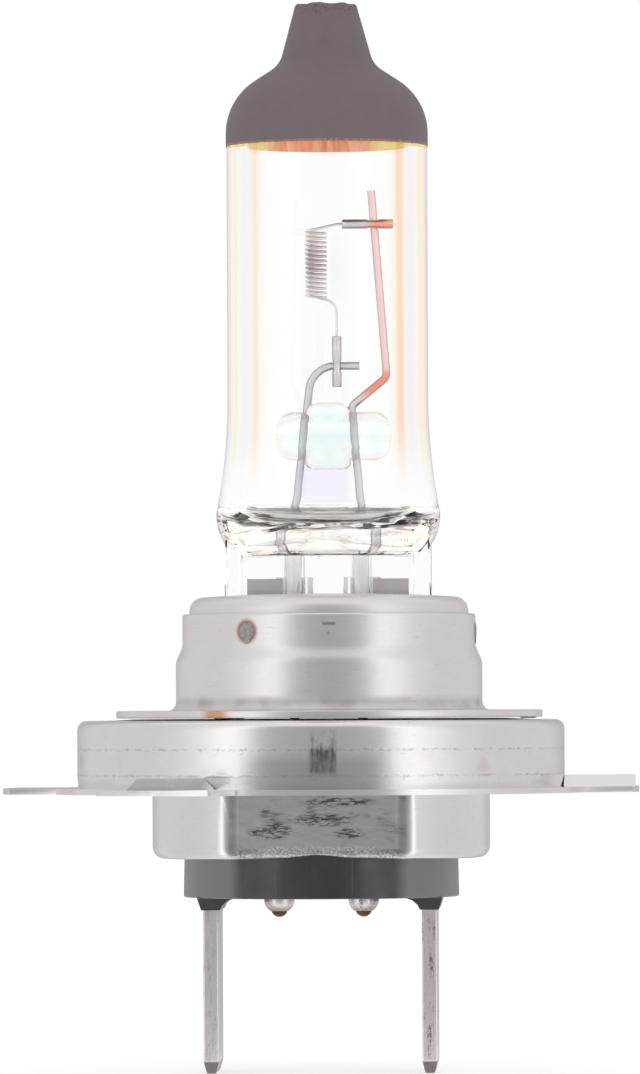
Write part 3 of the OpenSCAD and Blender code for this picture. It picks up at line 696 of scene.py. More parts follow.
def tube_glass():
    """Coated quartz, whose film shows soft colours towards the tube's edges, painted as reflection and
    refraction bands by viewing angle
    """
    material, tree, place, shader = new_material("tube_glass")
    # Painted reflection and refraction: bands of film colour chosen by viewing angle, warmer on the
    # right
    facing = tree.add("LayerWeight", {"Blend": 0.5}).outputs["Facing"]
    left = tree.ramp(facing, [
        (0.0, (0.99, 1.0, 1.0, 1)), (0.2, (1.0, 0.99, 0.96, 1)), (0.26, (1.0, 0.93, 0.84, 1)),
        (0.3, (0.98, 0.66, 0.44, 1)), (0.34, (0.95, 0.78, 0.62, 1)), (0.37, (0.9, 0.87, 0.85, 1)),
        (0.44, (0.84, 0.82, 0.87, 1)), (0.54, (0.93, 0.92, 0.9, 1)), (0.59, (0.8, 0.86, 0.44, 1)),
        (0.625, (0.93, 0.9, 0.6, 1)), (0.68, (0.93, 0.91, 0.9, 1)), (0.82, (0.85, 0.77, 0.82, 1)),
        (1.0, (0.72, 0.66, 0.7, 1))])
    right = tree.ramp(facing, [
        (0.0, (0.99, 1.0, 1.0, 1)), (0.2, (1.0, 0.99, 0.96, 1)), (0.26, (1.0, 0.86, 0.7, 1)),
        (0.29, (0.97, 0.53, 0.3, 1)), (0.33, (0.93, 0.56, 0.34, 1)), (0.37, (0.9, 0.84, 0.8, 1)),
        (0.44, (0.82, 0.78, 0.86, 1)), (0.55, (0.95, 0.92, 0.86, 1)), (0.59, (0.98, 0.86, 0.4, 1)),
        (0.64, (0.98, 0.88, 0.5, 1)), (0.69, (0.93, 0.91, 0.9, 1)), (0.82, (0.85, 0.76, 0.82, 1)),
        (1.0, (0.72, 0.66, 0.7, 1))])
    across = tree.add("SeparateXYZ", {0: place}).outputs["X"]
    film = tree.mix(tree.fade(across, -1.0, 2.0), left, right)
    height = tree.add("SeparateXYZ", {0: place}).outputs["Z"]
    shade = tree.mix(tree.fade(height, 14.5, 19.0), (0.998, 0.997, 0.996, 1), film)
    near = tree.fade(tree.add("SeparateXYZ", {0: place}).outputs["Y"], -3.5, -4.5)
    lilac = tree.product(near, tree.band(height, 14.7, 16.4, 0.3), tree.band(across, -1.0, 1.7, 0.25))
    shade = tree.mix(tree.math("MULTIPLY", lilac, 0.6), shade, (0.74, 0.72, 0.98, 1))
    ripple = tree.noise(tree.stretch(place, (0.3, 0.3, 1.5)), 0.9, 1.0, 0.4, 0.6)
    heel = tree.product(tree.fade(height, 14.0, 13.2), tree.fade(height, 11.6, 12.0))
    # Painted shade: dark brown-grey waves across the heel, standing in for refraction there; the same
    # ripple also bumps the glass
    painted_heel_waves = tree.ramp(ripple, [
        (0.38, (0.97, 0.96, 0.95, 1)), (0.45, (0.78, 0.74, 0.71, 1)), (0.49, (0.48, 0.43, 0.4, 1)),
        (0.53, (0.84, 0.8, 0.77, 1)), (0.58, (1.0, 1.0, 0.99, 1)), (0.66, (0.74, 0.7, 0.68, 1))])
    shade = tree.mix(heel, shade, painted_heel_waves)
    feed(tree, shader, color=shade, rough=0.0, ior=1.46, glass=1.0,
         normal=tree.bump(tree.math("MULTIPLY", ripple, heel), 0.3, 0.3 * MM))
    return material


def clear_glass():
    """Plain clear quartz with a trace of waviness"""
    material, tree, place, shader = new_material("clear_glass")
    wave = tree.noise(place, 0.7, 2.0)
    shade = tree.mix(wave, (0.998, 0.998, 0.996, 1), (0.994, 0.995, 0.996, 1))
    feed(tree, shader, color=shade, rough=0.0, ior=1.46, glass=1.0)
    return material


def seal_glass():
    """Pressed quartz, wavy where the jaws held it"""
    material, tree, place, shader = new_material("seal_glass")
    wave = tree.noise(tree.stretch(place, (1.0, 1.0, 0.35)), 1.6, 2.0, 0.5, 0.4)
    feed(tree, shader, color=(0.99, 0.99, 0.988, 1), rough=0.02, ior=1.46, glass=1.0,
         normal=tree.bump(wave, 0.35, 0.12 * MM))
    return material


def bridge_glass():
    """Glass of the bridge, with painted refraction colours by viewing angle: the cool tint of the film
    behind it in its middle, warmer towards its edges
    """
    material, tree, _, shader = new_material("bridge_glass")
    # Painted refraction colours chosen by viewing angle
    facing = tree.add("LayerWeight", {"Blend": 0.5}).outputs["Facing"]
    film = tree.ramp(facing, [
        (0.0, (0.84, 0.95, 0.97, 1)), (0.02, (0.9, 0.975, 0.98, 1)), (0.3, (0.95, 0.98, 0.98, 1)),
        (0.5, (1.0, 0.93, 0.88, 1)), (0.7, (1.0, 0.9, 0.7, 1)), (0.85, (0.95, 0.75, 0.78, 1)),
        (1.0, (0.75, 0.7, 0.72, 1))])
    feed(tree, shader, color=film, rough=0.0, ior=1.46, glass=1.0)
    return material


def coat_black(finishes):
    """Fired black coat, matt and slightly mottled, with a worn tip and a thin lower edge; its inner
    face carries a painted orange-gold reflection that glows, and it glows light grey for rays bounced
    inside the glass
    """
    material, tree, place, shader = new_material("coat_black")
    mottle = tree.noise(place, 1.3, 4.0, 0.6)
    speck = tree.noise(place, 9.0, 2.0, 0.6)
    height = tree.add("SeparateXYZ", {0: place}).outputs["Z"]
    base = tree.mix(mottle, full(finishes.coat, 0.9), full(finishes.coat, 1.12))
    tip = tree.product(tree.fade(height, 40.2, 41.1), tree.fade(speck, 0.5, 0.62))
    shade = tree.mix(tree.math("MULTIPLY", tip, 0.6), base, (0.06, 0.035, 0.03, 1))
    edge = tree.product(tree.band(height, 33.55, 33.72, 0.05), tree.fade(speck, 0.35, 0.6))
    shade = tree.mix(tree.math("MULTIPLY", edge, 0.6), shade, (0.5, 0.22, 0.14, 1))
    # Painted reflection: the coat's inner face turns orange-gold and glows at half strength
    wrapped = placed(tree, wrapped_place(), Place=place, Centre=BURNER / MM, Radius=5.4)
    inside = tree.product(tree.fade(wrapped["Distance"], 5.358, 5.35), tree.fade(height, 34.32, 34.28))
    painted_inner_reflection = tree.ramp(tree.noise(tree.stretch(place, (1.0, 0.2, 0.2)), 1.1, 3.0, 0.6), [
        (0.3, (0.9, 0.3, 0.16, 1)), (0.45, (1.0, 0.5, 0.28, 1)), (0.55, (0.85, 0.24, 0.14, 1)),
        (0.7, (1.0, 0.66, 0.35, 1))])
    gold_reflection_mask = tree.fade(tree.math("ABSOLUTE", tree.add("SeparateXYZ", {0: place}).outputs["X"]), 2.6, 4.2)
    shade = tree.mix(inside, shade, tree.mix(gold_reflection_mask, painted_inner_reflection, (1.0, 0.85, 0.3, 1)))
    # Painted light: rays that have bounced inside the glass see the coat light grey and glowing
    deep = tree.math("GREATER_THAN", tree.add("LightPath").outputs["Glossy Depth"], 1.5)
    guided_ray_glow = tree.ramp(tree.noise(tree.stretch(place, (1.0, 1.0, 0.5)), 1.3, 2.0, 0.5, 0.6), [
        (0.4, (0.36, 0.29, 0.25, 1)), (0.47, (0.66, 0.59, 0.54, 1)), (0.53, (0.86, 0.82, 0.79, 1)),
        (0.6, (1.0, 0.98, 0.96, 1))])
    shade = tree.mix(deep, shade, guided_ray_glow)
    relief = tree.math("ADD", tree.math("MULTIPLY", speck, 0.5), mottle)
    lit = tree.math("MAXIMUM", tree.math("MULTIPLY", inside, 0.5), deep)
    # The coat glows by lit: painted light on its inner face and for bounced rays
    feed(tree, shader, color=shade, rough=tree.between(mottle, 0.5, 0.68),
         normal=tree.bump(relief, 0.25, 0.03 * MM), specular=0.35,
         glow=tree.mix(lit, (0, 0, 0, 1), shade), strength=1.0)
    return material


def with_painted_edge_shade(tree, shade):
    """Colour of a round wire with painted shade, darker towards its edges by viewing angle"""
    facing = tree.add("LayerWeight", {"Blend": 0.5}).outputs["Facing"]
    dark = tree.add("Mix", {0: 1.0}, data_type="RGBA", blend_type="MULTIPLY")
    tree.tree.links.new(shade, dark.inputs[6])
    dark.inputs[7].default_value = (0.42, 0.4, 0.41, 1)
    return tree.mix(tree.fade(facing, 0.1, 0.8), shade, dark.outputs[2])


def tungsten_wire(finishes):
    """Drawn tungsten, dull and slightly uneven"""
    material, tree, place, shader = new_material("tungsten_wire")
    grain = tree.noise(place, 6.0, 3.0, 0.6)
    middle = tree.band(tree.add("SeparateXYZ", {0: place}).outputs["Z"], 26.6, 28.2, 0.5)
    base = tree.mix(grain, full(finishes.tungsten, 0.8), full(finishes.tungsten, 1.15))
    shade = tree.mix(tree.math("MULTIPLY", middle, 0.45), base, (0.3, 0.2, 0.2, 1))
    feed(tree, shader, color=shade, metal=1.0, rough=tree.between(grain, 0.3, 0.5))
    return material


def lead_metal(finishes, name, blush, deep=()):
    """Molybdenum wire; blush is how strongly the warm film shows on it"""
    material, tree, place, shader = new_material(name)
    along = tree.noise(tree.stretch(place, (6.0, 6.0, 0.6)), 1.5, 3.0, 0.6)
    base = tree.mix(along, full(finishes.molybdenum, 0.82), full(finishes.molybdenum, 1.1))
    height = tree.add("SeparateXYZ", {0: place}).outputs["Z"]
    warm = tree.mix(tree.noise(place, 0.9, 2.0), full(finishes.blush), full(finishes.blush, 1.15))
    shade = tree.mix(tree.math("MULTIPLY", tree.fade(height, 19.6, 21.0), blush), base, warm)
    # Painted light tone: near-white where the lead runs in the seal, as it looks pale through the
    # pressed glass
    foot = tree.fade(height, 13.4, 12.6)
    shade = tree.mix(foot, shade, (0.92, 0.92, 0.93, 1))
    for low, high in deep:
        here = tree.band(height, low, high, 0.25)
        shade = tree.mix(tree.math("MULTIPLY", here, 0.8), shade, (0.9, 0.22, 0.12, 1))
    # Painted shade: the wire darkens towards its edges
    feed(tree, shader, color=with_painted_edge_shade(tree, shade), metal=tree.between(along, 0.85, 1.0),
         rough=tree.between(along, 0.24, 0.4))
    return material


def sheet_steel(name, shade_of, centre, radius, rough, marks, metal=1.0):
    """Drawn sheet steel; marks adds the piece's own colour changes"""
    material, tree, place, shader = new_material(name)
    wrapped = placed(tree, wrapped_place(), Place=place, Centre=centre, Radius=radius)
    grain = placed(tree, drawn_grain(), Place=wrapped["Flat"])
    scuff = placed(tree, scuffs(), Place=wrapped["Flat"], Stretch=(0.5, 1.0, 3.0), Scale=4.0,
                   Level=0.6)
    base = tree.mix(grain["Tone"], full(shade_of, 0.86), full(shade_of, 1.08))
    shade = tree.mix(tree.math("MULTIPLY", scuff["Mask"], 0.32), base, full(shade_of, 0.4))
    shade, height, dull = marks(tree, place, wrapped, shade, grain["Height"])
    sheen = tree.math("ADD", tree.between(grain["Blotch"], *rough), tree.math("MULTIPLY", dull, 0.3))
    feed(tree, shader, color=shade, metal=metal, rough=sheen,
         normal=tree.bump(height, 0.22, 0.012 * MM))
    return material


def collar_steel(finishes, sizes):
    """Sleeve steel with a heat tint round each weld and a brownish foot"""
    def marks(tree, place, wrapped, shade, height):
        reach = COLLAR_HIGH.x - BURNER
        for turn in LUG_ANGLES:
            spot = weld_spot(sizes, turn) / MM
            away = tree.add("VectorMath", {0: place, 1: spot}, operation="DISTANCE").outputs["Value"]
            tint = placed(tree, heat_tint(), Distance=away, Reach=0.85)
            shade = tree.mix(tree.math("MULTIPLY", tint["Mask"], 0.75), shade, tint["Tint"])
            edge = Vector((BURNER + reach * cos(turn), reach * sin(turn), COLLAR_LOW.z)) / MM
            away = tree.add("VectorMath", {0: place, 1: edge}, operation="DISTANCE").outputs["Value"]
            burnt = tree.fade(away, 1.05, 0.3)
            shade = tree.mix(tree.math("MULTIPLY", burnt, 0.85), shade, (0.62, 0.3, 0.14, 1))
        across = tree.add("SeparateXYZ", {0: wrapped["Flat"]}).outputs["X"]
        front = tree.fade(tree.math("ABSOLUTE", wrapped["Turn"]), 0.5, 0.4)
        slot = tree.product(tree.band(across, -0.13, 0.58, 0.06), front,
                            tree.band(wrapped["Height"], 7.99, 8.14, 0.05))
        dot = tree.product(tree.band(across, 0.12, 0.27, 0.06), front,
                           tree.band(wrapped["Height"], 7.48, 7.64, 0.06))
        printed = tree.math("MAXIMUM", slot, tree.math("MULTIPLY", dot, 0.6))
        shade = tree.mix(tree.math("MULTIPLY", printed, 0.6), shade, (0.12, 0.11, 0.11, 1))
        foot = tree.band(wrapped["Height"], 3.55, 4.15, 0.25)
        cloud = tree.fade(tree.noise(wrapped["Flat"], 0.5, 2.0), 0.45, 0.62)
        shade = tree.mix(tree.product(foot, cloud, 0.35), shade, (0.36, 0.3, 0.27, 1))
        shade = tree.mix(tree.math("MULTIPLY", foot, 0.14), shade, (0.3, 0.28, 0.27, 1))
        return shade, height, foot
    return sheet_steel("collar_steel", finishes.sleeve, BURNER / MM, 7.9, (0.26, 0.36), marks)


def sleeve_steel(finishes):
    """Plain sleeve steel"""
    return sheet_steel("sleeve_steel", finishes.sleeve, BURNER / MM, 7.4, (0.34, 0.46),
                       lambda tree, place, wrapped, shade, height: (shade, height, 0.0))


def clip_steel(finishes):
    """Spring steel of the clip, duller than the sleeves"""
    return sheet_steel("clip_steel", finishes.sleeve, BURNER / MM, 7.0, (0.6, 0.7),
                       lambda tree, place, wrapped, shade, height: (shade, height, 0.0), metal=0.4)


def end_steel(finishes):
    """Steel at the bosses' ends with painted shade: greyer than the sheet's face, as the hollow under
    an open boss end looks
    """
    def marks(tree, place, wrapped, shade, height):
        # Painted shade: the end face's colour is mixed far towards grey
        return tree.mix(0.8, shade, (0.34, 0.34, 0.36, 1)), height, 0.0
    return sheet_steel("end_steel", finishes.steel, 0.0, 9.0, (0.6, 0.7), marks, metal=0.4)


def ring_steel(finishes):
    """Ring steel with two wavy drawing lines, a scraped patch at the front and a painted dark
    reflection on the lower middle of its front
    """
    def marks(tree, place, wrapped, shade, height):
        flat, level = wrapped["Flat"], wrapped["Height"]
        wander = tree.noise(tree.stretch(flat, (1.0, 0, 0)), 1.3, 6.0, 0.75)
        worn = tree.noise(flat, 3.0, 5.0, 0.75)
        for middle, width, strength in ((1.46, 0.05, 0.6), (0.1, 0.05, 0.55)):
            line = tree.math("SUBTRACT", level, middle - 0.2)
            line = tree.math("SUBTRACT", line, tree.math("MULTIPLY", wander, 0.4))
            near = tree.band(line, -width, width, 0.05)
            below = tree.band(line, -5 * width, 0, 0.12)
            patchy = tree.fade(tree.noise(flat, 0.7 + middle, 3.0, 0.7), 0.36, 0.62)
            broken = tree.math("MULTIPLY", tree.fade(worn, 0.36, 0.6), patchy)
            shade = tree.mix(tree.product(near, broken, strength), shade, (0.3, 0.27, 0.25, 1))
            fleck = tree.product(below, tree.fade(worn, 0.56, 0.66), 0.4)
            shade = tree.mix(fleck, shade, (0.36, 0.31, 0.28, 1))
            height = tree.math("ADD", height, tree.math("MULTIPLY", near, 1.5))
        front = tree.fade(tree.math("ABSOLUTE", wrapped["Turn"]), 0.5, 0.4)
        patch = tree.band(tree.add("SeparateXYZ", {0: flat}).outputs["X"], -0.22, 1.18, 0.1)
        patch = tree.product(patch, tree.band(level, 0.2, 2.3, 0.3), front)
        streak = tree.noise(tree.stretch(flat, (4.0, 1.0, 0.9)), 1.4, 6.0, 0.75, 0.3)
        core = tree.product(patch, tree.band(level, 0.2, 1.5, 0.2))
        dark = tree.math("ADD", tree.product(patch, tree.fade(streak, 0.42, 0.6), 0.6),
                         tree.math("MULTIPLY", core, 0.68), clamp=True)
        shade = tree.mix(tree.math("MULTIPLY", dark, 0.9), shade, (0.08, 0.085, 0.09, 1))
        # Painted reflection: the lower middle of the ring's front is darkened
        middle = tree.fade(tree.math("ABSOLUTE", wrapped["Turn"]), 0.34, 0.2)
        lower = tree.product(middle, tree.fade(level, 1.5, 0.6), 0.45)
        shade = tree.mix(lower, shade, (0.3, 0.3, 0.31, 1))
        stain = tree.fade(tree.noise(flat, 0.35, 2.0), 0.58, 0.7)
        shade = tree.mix(tree.product(stain, tree.band(level, 0.2, 1.3, 0.3), 0.3), shade,
                         (0.62, 0.42, 0.32, 1))
        height = tree.math("ADD", height, tree.math("MULTIPLY", dark, 0.8))
        return shade, height, dark
    return sheet_steel("ring_steel", finishes.steel, 0.0, 13.0, (0.16, 0.26), marks)


def plate_steel(finishes):
    """Plate and skirt steel, with scraped flats, painted dark strips and painted white highlight lines
    near the flats' sides, and a speckled lower edge
    """
    def marks(tree, place, wrapped, shade, height):
        part = tree.add("SeparateXYZ", {0: place}).outputs
        depth = tree.math("ABSOLUTE", part["Y"])
        flat = tree.product(tree.fade(depth, 7.3, 7.46), tree.fade(part["Z"], -0.9, -1.0),
                            tree.fade(tree.math("ABSOLUTE", part["X"]), 4.9, 4.5))
        streak = tree.noise(tree.stretch(place, (0.8, 0.2, 4.6)), 2.1, 6.0, 0.78, 0.4)
        # Painted shade: dark strips near each flat's sides
        sides = tree.band(tree.math("ABSOLUTE", part["X"]), 4.3, 5.0, 0.14)
        shade = tree.mix(tree.product(flat, sides, 0.36), shade, (0.16, 0.16, 0.17, 1))
        # Painted highlight: a thin white line on each flat, inside its dark strip
        edges = tree.band(tree.math("ABSOLUTE", part["X"]), 4.13, 4.2, 0.04)
        shade = tree.mix(tree.product(flat, edges, 0.35), shade, (1.0, 1.0, 1.0, 1))
        zone = tree.fade(tree.noise(tree.stretch(place, (0.5, 0.2, 0.9)), 0.8, 2.0), 0.49, 0.64)
        for x, z, reach, thick in ((0.3, -2.25, 2.0, 0.45), (1.7, -2.95, 1.0, 0.35),
                                   (-2.9, -2.9, 0.9, 0.35), (1.2, -1.3, 2.4, 0.3)):
            away = tree.add("VectorMath", {0: place, 1: (x, 0, z)}, operation="SUBTRACT").outputs[0]
            away = tree.stretch(away, (1 / reach, 0, 1 / thick))
            near = tree.add("VectorMath", {0: away}, operation="LENGTH").outputs["Value"]
            zone = tree.math("MAXIMUM", zone, tree.fade(near, 1.0, 0.5))
        cloud = tree.noise(tree.stretch(place, (0.8, 0.2, 1.6)), 0.9, 5.0, 0.7, 0.5)
        shade = tree.mix(tree.product(flat, tree.between(cloud, 0.0, 0.6)), shade,
                         (0.25, 0.25, 0.26, 1))
        dark = tree.product(flat, tree.fade(streak, 0.45, 0.54), zone)
        shade = tree.mix(tree.math("MULTIPLY", dark, 0.92), shade, (0.06, 0.065, 0.075, 1))
        speck = tree.fade(tree.noise(place, 7.0, 4.0, 0.8), 0.44, 0.54)
        centre = tree.fade(tree.math("ABSOLUTE", part["X"]), 3.9, 2.4)
        depth = tree.fade(depth, 7.2, 7.3)
        worn = tree.product(tree.band(part["Z"], -4.3, -3.8, 0.08), speck, depth,
                            tree.fade(tree.math("ABSOLUTE", part["X"]), 4.9, 4.2),
                            tree.between(centre, 0.7, 0.4))
        shade = tree.mix(worn, shade, (0.13, 0.13, 0.14, 1))
        bright = tree.product(flat, tree.band(part["Z"], -4.0, -3.65, 0.12), centre,
                              tree.fade(tree.noise(place, 8.0, 4.0, 0.8), 0.5, 0.56))
        shade = tree.mix(tree.math("MULTIPLY", bright, 0.9), shade, (1.0, 1.0, 1.0, 1))
        height = tree.math("ADD", height, tree.math("MULTIPLY", tree.math("ADD", dark, worn), 0.9))
        return shade, height, worn
    return sheet_steel("plate_steel", finishes.steel, 0.0, 9.0, (0.12, 0.24), marks)


def weld_metal():
    """Bare weld metal, grey-brown and rough"""
    material, tree, place, shader = new_material("weld_metal")
    grain = tree.noise(place, 7.0, 3.0, 0.6)
    shade = tree.mix(grain, (0.2, 0.18, 0.18, 1), (0.5, 0.46, 0.46, 1))
    feed(tree, shader, color=shade, metal=1.0, rough=tree.between(grain, 0.3, 0.5),
         normal=tree.bump(grain, 0.4, 0.03 * MM))
    return material


def slate_plastic(finishes):
    """Moulded slate plastic with faint flow marks, specks and two parting lines"""
    material, tree, place, shader = new_material("slate_plastic")
    flow = tree.noise(tree.stretch(place, (1.0, 1.0, 0.5)), 0.8, 3.0, 0.6, 0.8)
    fine = tree.noise(place, 12.0, 2.0)
    speck = tree.fade(tree.noise(place, 5.0, 2.0, 0.7), 0.72, 0.76)
    part = tree.add("SeparateXYZ", {0: place}).outputs
    base = tree.mix(flow, full(finishes.slate, 0.8), full(finishes.slate, 1.2))
    seam = tree.math("ADD", tree.band(part["X"], -2.21, -2.17, 0.02),
                     tree.band(part["X"], 1.8, 1.84, 0.02), clamp=True)
    light = tree.math("MAXIMUM", tree.math("MULTIPLY", seam, 0.1), tree.math("MULTIPLY", speck, 0.3))
    shade = tree.mix(light, base, (0.3, 0.31, 0.33, 1))
    front = tree.math("MAXIMUM", tree.fade(tree.math("ABSOLUTE", part["X"]), 4.9, 3.9),
                      tree.fade(part["Z"], -6.42, -6.5))
    sheen = tree.math("SUBTRACT", 0.8, tree.math("MULTIPLY", front, tree.between(flow, 0.66, 0.5)))
    feed(tree, shader, color=shade, rough=tree.between(flow, 0.16, 0.26), ior=2.1, specular=sheen,
         normal=tree.bump(tree.math("ADD", fine, seam), 0.12, 0.02 * MM))
    return material


def blade_nickel(finishes):
    """Plated contact metal, with dull streaks where it has been pressed"""
    material, tree, place, shader = new_material("blade_nickel")
    streak = tree.noise(tree.stretch(place, (2.5, 2.5, 0.45)), 1.6, 4.0, 0.7, 0.4)
    fleck = tree.noise(place, 6.0, 3.0, 0.7)
    base = tree.mix(fleck, full(finishes.nickel, 0.78), full(finishes.nickel, 1.05))
    worn = tree.product(tree.fade(streak, 0.54, 0.62), tree.fade(fleck, 0.42, 0.5))
    part = tree.add("SeparateXYZ", {0: place}).outputs
    worn = tree.product(worn, tree.between(tree.fade(part["X"], -1.0, 1.0), 0.25, 0.8))
    shade = tree.mix(worn, base, (0.16, 0.155, 0.15, 1))
    cup = tree.product(tree.fade(tree.math("ABSOLUTE", part["X"]), 3.4, 3.2),
                       tree.fade(part["Z"], -6.85, -7.15), tree.between(fleck, 0.3, 1.0))
    shade = tree.mix(cup, shade, (0.2, 0.12, 0.09, 1))
    point = tree.fade(part["Z"], -15.06, -15.16)
    shade = tree.mix(tree.math("MULTIPLY", point, 0.9), shade, (0.15, 0.135, 0.12, 1))
    feed(tree, shader, color=shade, metal=1.0, rough=tree.between(fleck, 0.22, 0.42),
         normal=tree.bump(tree.math("ADD", fleck, streak), 0.3, 0.03 * MM))
    return material


def bead_metal(finishes):
    """Copper-brown weld bead"""
    material, tree, place, shader = new_material("bead_metal")
    cloud = tree.noise(place, 2.2, 3.0, 0.6)
    shade = tree.mix(cloud, full(finishes.bead, 0.35), full(finishes.bead, 1.3))
    feed(tree, shader, color=shade, metal=1.0, rough=tree.between(cloud, 0.2, 0.4),
         normal=tree.bump(cloud, 0.4, 0.05 * MM))
    return material


# ---- Glass capsule -------------------------------------------------------------------------


def swell(sizes, z):
    """Outer radius of the tube at a height in the swelling"""
    widest = (GLASS_HIGH.x - GLASS_LOW.x) / 2
    share = (sizes.flare_height - z) / (sizes.flare_height - sizes.swell_height)
    return sizes.tube_radius + (widest - sizes.tube_radius) * max(share, 0) ** 2


def swell_points(sizes, inset, start, steps=14):
    """Points up the swelling, from a height to the straight tube"""
    rise = sizes.flare_height - start
    heights = [start + rise * i / steps for i in range(steps + 1)]
    return [(swell(sizes, z) - inset, z) for z in heights]


def shoulder_points(sizes, grow):
    """Points over the shoulder and neck to the foot of the tip, grown outwards by grow"""
    turn, dome, neck = sizes.dome_turn, sizes.dome_radius, sizes.neck_radius
    lean = radians(12)
    r1 = sizes.tube_radius - dome + dome * cos(turn)
    z1 = sizes.shoulder_height + dome * sin(turn)
    r2 = sizes.tip_foot + neck * (cos(lean) - cos(turn))
    z2 = z1 + (r1 - r2) / tan(turn)
    middle = (r2 + neck * cos(turn), z2 + neck * sin(turn))
    return (arc((sizes.tube_radius - dome, sizes.shoulder_height), dome + grow, 0,
                turn * 180 / pi, 12)
            + arc(middle, neck - grow, 180 + turn * 180 / pi, 192, 8))


def tip_points(sizes, grow, top):
    """Points round the end of the tip"""
    soft = 0.18 * MM
    return arc((sizes.tip_end + grow - soft, top - soft), soft, 15, 90, 4) + [(0, top)]


def seal_form(sizes, burner):
    """Flat seal: its section drawn as one outline, then raised into the heel"""
    rib_in = sizes.width / 2 - sizes.rib
    place = burner.lead_place
    web, column = sizes.web / 2, sizes.column
    quarter = [(sizes.block / 2, sizes.block_depth / 2), (sizes.block / 2, web)]
    quarter += arc((place, web), column, 180, 0, 8)
    quarter += [(rib_in, web), (rib_in, sizes.rib_depth / 2), (sizes.width / 2, sizes.rib_depth / 2)]
    half = quarter + [(x, -y) for x, y in reversed(quarter)]
    outline = half + [(-x, -y) for x, y in half]
    low, high = GLASS_LOW.z, 12.75 * MM
    seal = drawn("seal", [(BURNER + x, y, low) for x, y in outline], Z * (high - low))
    bpy.ops.object.mode_set(mode="EDIT")
    pick(seal, "edges", lambda e: abs((e.verts[0].co - e.verts[1].co).normalized().z) > 0.9
         and e.calc_face_angle(0) > radians(50))
    bpy.ops.mesh.bevel(offset=0.14 * MM, segments=3)
    close_piece(40)
    return seal


class BULB_OT_envelope(bpy.types.Operator):
    """Glass capsule: the blown tube with its gas space, on the pressed flat seal"""
    bl_idname = "bulb.envelope"
    bl_label = "Glass Envelope"

    def execute(self, context):
        """Builds the envelope"""
        sizes, seal_sizes = context.scene.bulb_capsule, context.scene.bulb_seal
        centre = (BURNER, 0, 0)
        widest = (GLASS_HIGH.x - GLASS_LOW.x) / 2
        heel = oval((widest - sizes.heel_width, sizes.swell_height), sizes.heel_width,
                    sizes.heel_drop)
        outside = ([(0, sizes.swell_height - sizes.heel_drop)] + heel
                   + swell_points(sizes, 0, sizes.swell_height)[1:]
                   + shoulder_points(sizes, 0) + tip_points(sizes, 0, GLASS_HIGH.z))
        body = turned("glass_envelope", outside, centre)
        lean_tip(body)
        combine(body, seal_form(seal_sizes, context.scene.bulb_burner), "UNION")
        inner = self.gas_space(sizes, centre)
        body = joined("glass_envelope", [body, inner])
        bpy.ops.object.shade_smooth_by_angle(angle=radians(40))
        settle(body, "quartz_glass", "glass_envelope",
               materials=[tube_glass(), clear_glass(), seal_glass()])
        self.paint(body)
        return {"FINISHED"}

    def gas_space(self, sizes, centre):
        """Wall of the gas space, facing inwards"""
        wall, dome = sizes.wall, sizes.dome_radius - sizes.wall
        floor = sizes.floor_height
        r_floor = swell(sizes, sizes.swell_height) - wall
        corner = oval((r_floor - 1.6 * MM, floor + 1.1 * MM), 1.6 * MM, 1.1 * MM)
        bore = sizes.tube_radius - wall
        slope = (bore - dome + dome * cos(sizes.dome_turn),
                 sizes.shoulder_height + dome * sin(sizes.dome_turn))
        channel = 0.5 * MM
        top = slope[1] + (slope[0] - channel) / tan(sizes.dome_turn)
        outline = ([(0, floor)] + corner + swell_points(sizes, wall, floor + 1.1 * MM)[1:]
                   + arc((bore - dome, sizes.shoulder_height), dome, 0, sizes.dome_turn * 180 / pi, 12)
                   + [(channel, top), (channel / 2, top + MM), (0, top + MM)])
        inner = turned("gas_space", outline, centre)
        bpy.ops.object.mode_set(mode="EDIT")
        bpy.ops.mesh.select_all(action="SELECT")
        bpy.ops.mesh.flip_normals()
        bpy.ops.object.mode_set(mode="OBJECT")
        return inner

    def paint(self, body):
        """Coated outside, clear inside and wavy seal"""
        seal_top, gas_low = 11.9 * MM, 13 * MM
        for face in body.data.polygons:
            middle = face.center - Vector((BURNER, 0, 0))
            reach = Vector((middle.x, middle.y, 0))
            inward = reach.dot(face.normal) < 0 and middle.z > gas_low
            if middle.z < seal_top:
                face.material_index = 2
            elif inward:
                face.material_index = 1


class BULB_OT_coat(bpy.types.Operator):
    """Black coat on the shoulder and tip, with a chipped tip"""
    bl_idname = "bulb.coat"
    bl_label = "Anti-glare Coat"

    def execute(self, context):
        """Builds the coat"""
        sizes, finishes = context.scene.bulb_capsule, context.scene.bulb_finishes
        grow, sink = sizes.coat_thickness, 0.015 * MM
        low, tube = COAT_LOW.z, sizes.tube_radius
        outside = ([(tube + grow, low)] + shoulder_points(sizes, grow)
                   + tip_points(sizes, grow, COAT_HIGH.z))
        inside = ([(tube - sink, low)] + shoulder_points(sizes, -sink)
                  + tip_points(sizes, -sink, COAT_HIGH.z - grow - sink))
        coat = turned("anti_glare_coat", outside + inside[::-1], (BURNER, 0, 0), loop=True)
        lean_tip(coat)
        settle(coat, "black_coat", "anti_glare_coat", materials=[coat_black(finishes)])
        return {"FINISHED"}


# ---- Filament, leads and bridge ------------------------------------------------------------


def crimp_depth():
    """How far the crimp tubes lie in front of the leads"""
    return -0.36 * MM


